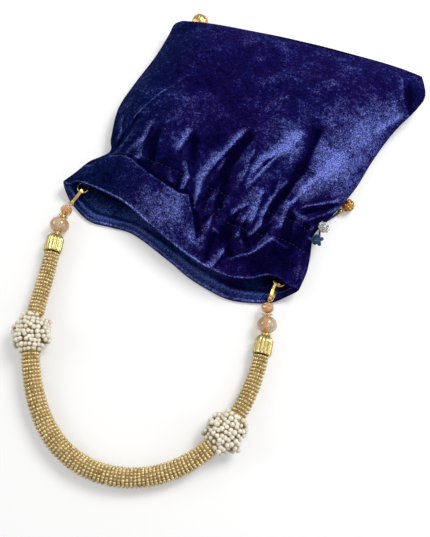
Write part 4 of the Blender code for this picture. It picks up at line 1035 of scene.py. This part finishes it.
for made_tail, tail_path, tail_length, on_tail in (right_charms(), left_charms()):
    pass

# The strung handle

LEFT_PIVOT, RIGHT_PIVOT, PIVOT_Z = (-89.6, -38.3), (63.8, -56.5), 9.7
RING_RADIUS, RING_WIRE = 4.0, 0.55
LEFT_STRETCH = ((0, 0, PIVOT_Z), (-4.2, -16.1, 8.3), (-4.6, -26.1, 7.1), (-2.3, -41.0, 6.9),
                (1.8, -61.2, 6.7))
MIDDLE_STRETCH = ((-84.4, -118.5, 7.9), (-78.7, -141.5, 9.6), (-68.1, -165.9, 8.2), (-51.6, -187.8, 6.8),
                  (-28.4, -203.7, 6.7), (3.1, -207.6, 6.7), (31.4, -197.5, 6.8), (50.1, -180.9, 8.2),
                  (63.2, -157.7, 9.6), (68.7, -134.9, 8.0))
RIGHT_STRETCH = ((5.8, -60.7, 6.7), (4.3, -41.5, 6.9), (1.8, -26.6, 7.1), (-1.1, -17.2, 8.3), (0, 0, PIVOT_Z))
EYE_AT, WIRE_LOOP_RADIUS, WIRE_RADIUS, STRING_GAP, BEAD_BORE = 9.3, 1.6, 0.4, 0.2, 0.8
# Across and along the string
SMALL_BEAD, BIG_BEAD, RONDELLE, END_CAP = (8.8, 7.4), (13.6, 12.0), (7.6, 1.4), (12.6, 12.6)
CAP_FLUTES, CAP_BORE_DEPTH, RONDELLE_STONES = 14, 9.5, 14
CORE_RADIUS, SLEEVE_RADIUS_ENDS, SLEEVE_RADIUS_MIDDLE, ROW_PITCH = 4.2, 5.4, 6.4, 2.45
BEADS_ROUND = 17
LEFT_PEARLS_AT, RIGHT_PEARLS_AT = 107.0, 104.0
PEARLS_LENGTH, PEARLS_RADIUS, PEARLS_FLATTENED, PEARL = 25.0, 12.3, 9.2, 4.0
PEARL_RINGS, PEARL_SPACING = 9, 3.3

# The end stretches are measured from their pivots, and the middle one from the frame's origin
FINE_ROUTE = smooth_route([(LEFT_PIVOT[0] + x, LEFT_PIVOT[1] + y, z) for x, y, z in LEFT_STRETCH]
                          + list(MIDDLE_STRETCH)
                          + [(RIGHT_PIVOT[0] + x, RIGHT_PIVOT[1] + y, z) for x, y, z in RIGHT_STRETCH], 3001)
FINE_LENGTHS = np.concatenate([[0], np.cumsum(np.linalg.norm(np.diff(FINE_ROUTE, axis=0), axis=1))])
TOTAL = FINE_LENGTHS[-1]


def on_route(distance):
    """Points of the handle's centre line at distances from the left pivot."""
    return np.stack([np.interp(distance, FINE_LENGTHS, FINE_ROUTE[:, k]) for k in range(3)], axis=-1)


def string_places():
    """How far from its pivot each strung piece's middle lies, and where the beaded tube starts."""
    middles = {}
    far = EYE_AT - 0.2 + 2 * WIRE_LOOP_RADIUS + WIRE_RADIUS + STRING_GAP
    for name, (_, length) in (("small_bead", SMALL_BEAD), ("upper_rondelle", RONDELLE),
                              ("big_bead", BIG_BEAD), ("lower_rondelle", RONDELLE), ("end_cap", END_CAP)):
        middles[name] = far + length / 2
        far += length + STRING_GAP
    return middles, far - STRING_GAP + GAP


MIDDLES, TUBE_START = string_places()


def faceted(radius, half, bore):
    """A glass bead cut in seven rows of ten facets round a bored ball."""
    return turned(ball_profile(radius, half, 7, bore), 10, bored=True)


def rondelle_shapes():
    """A gold ring with a ring of small crystals let into its rim."""
    radius, half = RONDELLE[0] / 2, RONDELLE[1] / 2
    groove, lip = radius - 0.75, radius - 0.45
    ring = turned([(BEAD_BORE, -half), (groove, -half), (lip, -half * 0.8), (groove, -half * 0.4),
                   (groove, half * 0.4), (lip, half * 0.8), (groove, half), (BEAD_BORE, half)],
                  48, bored=True)
    stone = turned([(0.02, -0.3), (0.5, 0.0), (0.42, 0.28), (0.02, 0.36)], 6)
    angle = np.arange(RONDELLE_STONES) * 2 * pi / RONDELLE_STONES
    turns = [facing((cos(a), sin(a), 0)) for a in angle]
    wheres = np.stack((np.cos(angle), np.sin(angle), 0 * angle), axis=-1) * (radius - 0.6)
    return ring, copies(stone, turns, wheres)


def cap_shape():
    """A fluted cup, domed at the beads' end: its radius swells between flutes as |cos(7 a)| does."""
    radius, length = END_CAP[0] / 2, END_CAP[1]
    half, bore, bottom = length / 2, CORE_RADIUS + GAP, END_CAP[1] / 2 - CAP_BORE_DEPTH
    top, domed = 2.4, 4.6
    dome = [(top + (radius - top) * sin(t) ** 0.8 * 0.97, -half + domed * (1 - cos(t)))
            for t in np.linspace(0.08, pi / 2, 12)]
    wall = [(radius * (0.97 + 0.03 * t), -half + domed + (length - domed - 0.8) * t)
            for t in np.linspace(0.1, 1, 8)]
    inside = [(radius - 0.25, half), (bore, half), (bore, bottom), (BEAD_BORE, bottom)]
    profile = [(BEAD_BORE, -half), (2.0, -half)] + dome + wall + inside

    def fluted(angle, far, height):
        """1 - 0.16 (1 - |cos(7 a)| ** 0.8) on the wall, easing to 1 at the dome's middle and the rim."""
        share = ramp(far, 0.45 * radius, 0.8 * radius) * ramp(half - 0.1 - height, 0, 0.8)
        return 1 - 0.16 * share * (1 - np.abs(np.cos(CAP_FLUTES * angle / 2)) ** 0.8)

    return turned(profile, CAP_FLUTES * 10, fluted, bored=True)


def strung_pieces(side):
    """The glass beads, rondelles and cap of one end of the handle."""
    def at(distance):
        """The point this far from the side's own pivot."""
        return on_route(distance if side == "left" else TOTAL - distance)

    def put(shape, name, span):
        """A shape in its place on the string, turned along the stretch of span either side of it."""
        middle = MIDDLES[name]
        return placed(shape, facing(at(middle + span) - at(middle - span)), at(middle))

    small = faceted(SMALL_BEAD[0] / 2, SMALL_BEAD[1] / 2, BEAD_BORE)
    piece(f"{side}_faceted_bead", put(small, "small_bead", 3), SMALL_GLASS, "handle",
          f"{side}_small_bead", smooth=False)
    big = turned(ball_profile(BIG_BEAD[0] / 2, BIG_BEAD[1] / 2, 28, BEAD_BORE), 48, bored=True)
    piece(f"{side}_round_bead", put(big, "big_bead", 5), GLASS, "handle", f"{side}_big_bead")
    ring, stones = rondelle_shapes()
    for name in ("upper_rondelle", "lower_rondelle"):
        piece(f"{side}_{name}_ring", put(ring, name, 1), GOLD, "handle", f"{side}_{name}")
        piece(f"{side}_{name}_stones", put(stones, name, 1), CRYSTAL, "handle", smooth=False)
    piece(f"{side}_fluted_cap", put(cap_shape(), "end_cap", END_CAP[1] / 2), PALE_GOLD, "handle",
          f"{side}_end_cap")


def beaded_sleeve():
    """Rows of seed beads round a thread tube: bead j of n in a row stands at j / n of a turn."""
    length = TOTAL - 2 * TUBE_START
    rows = round(length / ROW_PITCH)
    share = (np.arange(rows) + 0.5) / rows
    outer = SLEEVE_RADIUS_ENDS + (SLEEVE_RADIUS_MIDDLE - SLEEVE_RADIUS_ENDS) * np.sin(pi * share)
    centres = on_route(TUBE_START + length * share)
    heading, side, up = frames_along(centres)
    wander = 0.12 * np.sin(np.arange(rows) / 5.0)[:, None]
    angle = 2 * pi * (np.arange(BEADS_ROUND)[None, :] + wander) / BEADS_ROUND
    angle = angle + CHANCE.normal(0, 0.03, angle.shape)
    out = np.cos(angle)[..., None] * side[:, None, :] + np.sin(angle)[..., None] * up[:, None, :]
    along = np.broadcast_to(heading[:, None, :], out.shape)
    round_the_tube = np.cross(along, out)
    radial = 1.12
    wheres = centres[:, None, :] + out * (outer - radial)[:, None, None]
    half_width = (pi * (outer - radial) / BEADS_ROUND * 1.1)[:, None, None] * np.ones((rows, BEADS_ROUND, 1))
    turns = np.stack((out * radial, round_the_tube * half_width, along * (ROW_PITCH / 2 * 0.88)), axis=-1)
    bead = turned(ball_profile(1.0, 1.0, 4), 8)
    shape = copies(bead, turns.reshape(-1, 3, 3), wheres.reshape(-1, 3))
    tone = np.repeat(np.clip(CHANCE.normal(0.62, 0.22, rows * BEADS_ROUND), 0, 1), len(bead[0]))
    piece("seed_bead_rows", shape, SEED_BEADS, "handle", "beaded_sleeve", values={"tone": tone})
    fine = on_route(TUBE_START + length * np.linspace(0.001, 0.999, 260))
    width = np.interp(np.linspace(0, 1, 260), share, outer) - 1.25
    piece("thread_sleeve", tube(fine, width, 20), PADDING_FINISH, "handle", "handle_core")


def pearl_bunch(side, middle):
    """Pearls sewn round the sleeve in staggered rings over a rounded band, each a little off its place.

    A ring at t, from -1 to 1 along the band, has the radius r(t) = R (1 - 0.36 |t| ** 2.6).
    """
    half = PEARLS_LENGTH / 2
    rings = np.linspace(-1, 1, PEARL_RINGS)
    t, angle = [], []
    for k, place in enumerate(rings):
        around = round(2 * pi * PEARLS_RADIUS * 0.84 * (1 - 0.36 * abs(place) ** 2.6) / PEARL_SPACING)
        t.append(np.full(around, place))
        angle.append((np.arange(around) + 0.5 * (k % 2)) * 2 * pi / around)
    t, angle = np.concatenate(t), np.concatenate(angle)
    count = len(t)
    t = t + CHANCE.normal(0, 0.035, count)
    angle = angle + CHANCE.normal(0, 0.05, count)
    order = np.argsort(t)
    t, angle = t[order], angle[order]
    along = on_route(middle + t * (half - PEARL / 2 + 0.4))
    heading, across, up = frames_along(along)
    far = (PEARLS_RADIUS - PEARL / 2 + 0.9) * (1 - 0.36 * np.abs(t) ** 2.6) + CHANCE.normal(0, 0.45, count)
    far = far * (1 + 0.08 * np.sin(3 * angle + 5 * t) + 0.04 * np.sin(2 * angle - 9 * t))
    squashed = 1 - (1 - PEARLS_FLATTENED / PEARLS_RADIUS) * np.abs(np.sin(angle)) ** 1.5
    out = np.cos(angle)[:, None] * across + np.sin(angle)[:, None] * up
    wheres = along + out * (far * squashed)[:, None]
    size = CHANCE.normal(1.66, 0.12, count)
    wheres[:, 2] = np.maximum(wheres[:, 2], size + 0.1)
    turns = np.stack([facing(direction, (0.2, 0.1, 1)) for direction in out]) * size[:, None, None]
    pearl = turned(ball_profile(1.0, 1.0, 8), 14)
    # painted shade: each pearl light on its outward face and darker towards its sides, times a random tone
    # per pearl
    outward = 0.52 + 0.48 * pearl[0][:, 2]
    tone = (CHANCE.uniform(0.72, 1, count)[:, None] * outward[None, :]).ravel()
    piece(f"{side}_pearls", copies(pearl, turns, wheres), PEARL_FINISH, "handle",
          f"{side}_pearl_cluster", values={"tone": tone})
    t = np.linspace(-1, 1, 14)
    band = on_route(middle + t * (half - 1.5))
    backing = tube(band, 6.4 + 1.4 * (1 - t ** 4), 20)
    piece(f"{side}_pearl_backing", backing, BACKING_FINISH, "handle")


for which in ("left", "right"):
    strung_pieces(which)
beaded_sleeve()
pearl_bunch("left", LEFT_PEARLS_AT)
pearl_bunch("right", TOTAL - RIGHT_PEARLS_AT)

# Rings, and the CAD nodes that keep their own shape

def wire_ring(side, pivot):
    """A round ring that lies level inside the mouth, with its wire through the handle's pivot."""
    hinge = np.array((RIGHT_PIVOT[0] - LEFT_PIVOT[0], RIGHT_PIVOT[1] - LEFT_PIVOT[1], 0.0))
    hinge /= np.linalg.norm(hinge)
    middle = np.array((*pivot, PIVOT_Z)) + np.array((-hinge[1], hinge[0], 0)) * RING_RADIUS
    t = np.linspace(0, 2 * pi, 64, endpoint=False)
    hoop = middle + RING_RADIUS * np.stack((np.cos(t), np.sin(t), 0 * t), axis=-1)
    ring = tube(hoop, RING_WIRE, 12, closed=True)
    piece(f"{side}_wire_ring", ring, GOLD, "bag", f"{side}_bag_ring")


def kept_nodes():
    """Gives the solids that stay as they are their finishes."""
    finishes = {"left_drawstring": CORD_FINISH, "right_drawstring": CORD_FINISH}
    for side in ("left", "right"):
        finishes[f"{side}_ring_tab"] = FACING_FINISH
        for label in ("clasp_body", "clasp_trigger", "trigger_pin", "beading_wire"):
            finishes[f"{side}_{label}"] = GOLD
    for label, finish in finishes.items():
        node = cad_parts[label]
        node.data.materials.clear()
        node.data.materials.append(finish)


wire_ring("left", LEFT_PIVOT)
wire_ring("right", RIGHT_PIVOT)
kept_nodes()

# Table, light and background

TABLE_HALF = 2.0           # in metres, as the lamps are
LAMPS = (("overhead", (0.38, 0.55, 0.85), 0.45, 7.9), ("left_side", (-0.9, -0.2, 0.6), 0.5, 2.2),
         ("right_side", (0.9, 0.1, 0.5), 0.4, 1.2))          # place, size, power
LAMPS_AIM = (0, -0.03, 0)


def table_top():
    """A white table that the camera sees a little lighter than the lamps make it."""
    corners = [(-TABLE_HALF, -TABLE_HALF, 0), (TABLE_HALF, -TABLE_HALF, 0), (TABLE_HALF, TABLE_HALF, 0),
               (-TABLE_HALF, TABLE_HALF, 0)]
    mesh = bpy.data.meshes.new("table_top")
    mesh.from_pydata(corners, [], [(0, 1, 2, 3)])
    table = bpy.data.objects.new("table_top", mesh)
    bpy.context.scene.collection.objects.link(table)
    made, w, shader, where = new_material("white_table", Roughness=0.9, Base_Color=(0.80, 0.80, 0.80),
                                          Specular_IOR_Level=0.0)
    seen = w.add("ShaderNodeLightPath").outputs["Is Camera Ray"]
    w.feed(shader.inputs["Emission Color"], (1.0, 1.0, 1.0))
    w.feed(shader.inputs["Emission Strength"], w.line(seen, 0.20))
    mesh.materials.append(made)


def surround():
    """A pale sky, lighter overhead, that the camera sees as plain white."""
    world = bpy.data.worlds.new("surround")
    bpy.context.scene.world = world
    world.use_nodes = True
    w = Wiring(world.node_tree)
    shade = world.node_tree.nodes["Background"]
    high = w.add("ShaderNodeSeparateXYZ", {0: w.add("ShaderNodeTexCoord").outputs["Generated"]}).outputs[2]
    levels = {"Value": high, "From Min": -0.1, "From Max": 0.9, "To Min": 0.22, "To Max": 0.54}
    level = w.add("ShaderNodeMapRange", levels).outputs[0]
    seen = w.add("ShaderNodeLightPath").outputs["Is Camera Ray"]
    w.feed(shade.inputs["Strength"], w.math("MAXIMUM", level, seen))
    shade.inputs["Color"].default_value = (1, 1, 1, 1)


def lamps():
    """One strong soft lamp behind the bag and two weak ones at its sides, all turned to the bag."""
    for label, where, size, power in LAMPS:
        data = bpy.data.lights.new(label, "AREA")
        data.size = size
        data.energy = power
        lamp = bpy.data.objects.new(label, data)
        bpy.context.scene.collection.objects.link(lamp)
        lamp.location = where
        lamp.rotation_euler = (Vector(LAMPS_AIM) - Vector(where)).to_track_quat("-Z", "Y").to_euler()


table_top()
surround()
lamps()
bpy.context.scene.view_settings.view_transform = "Standard"
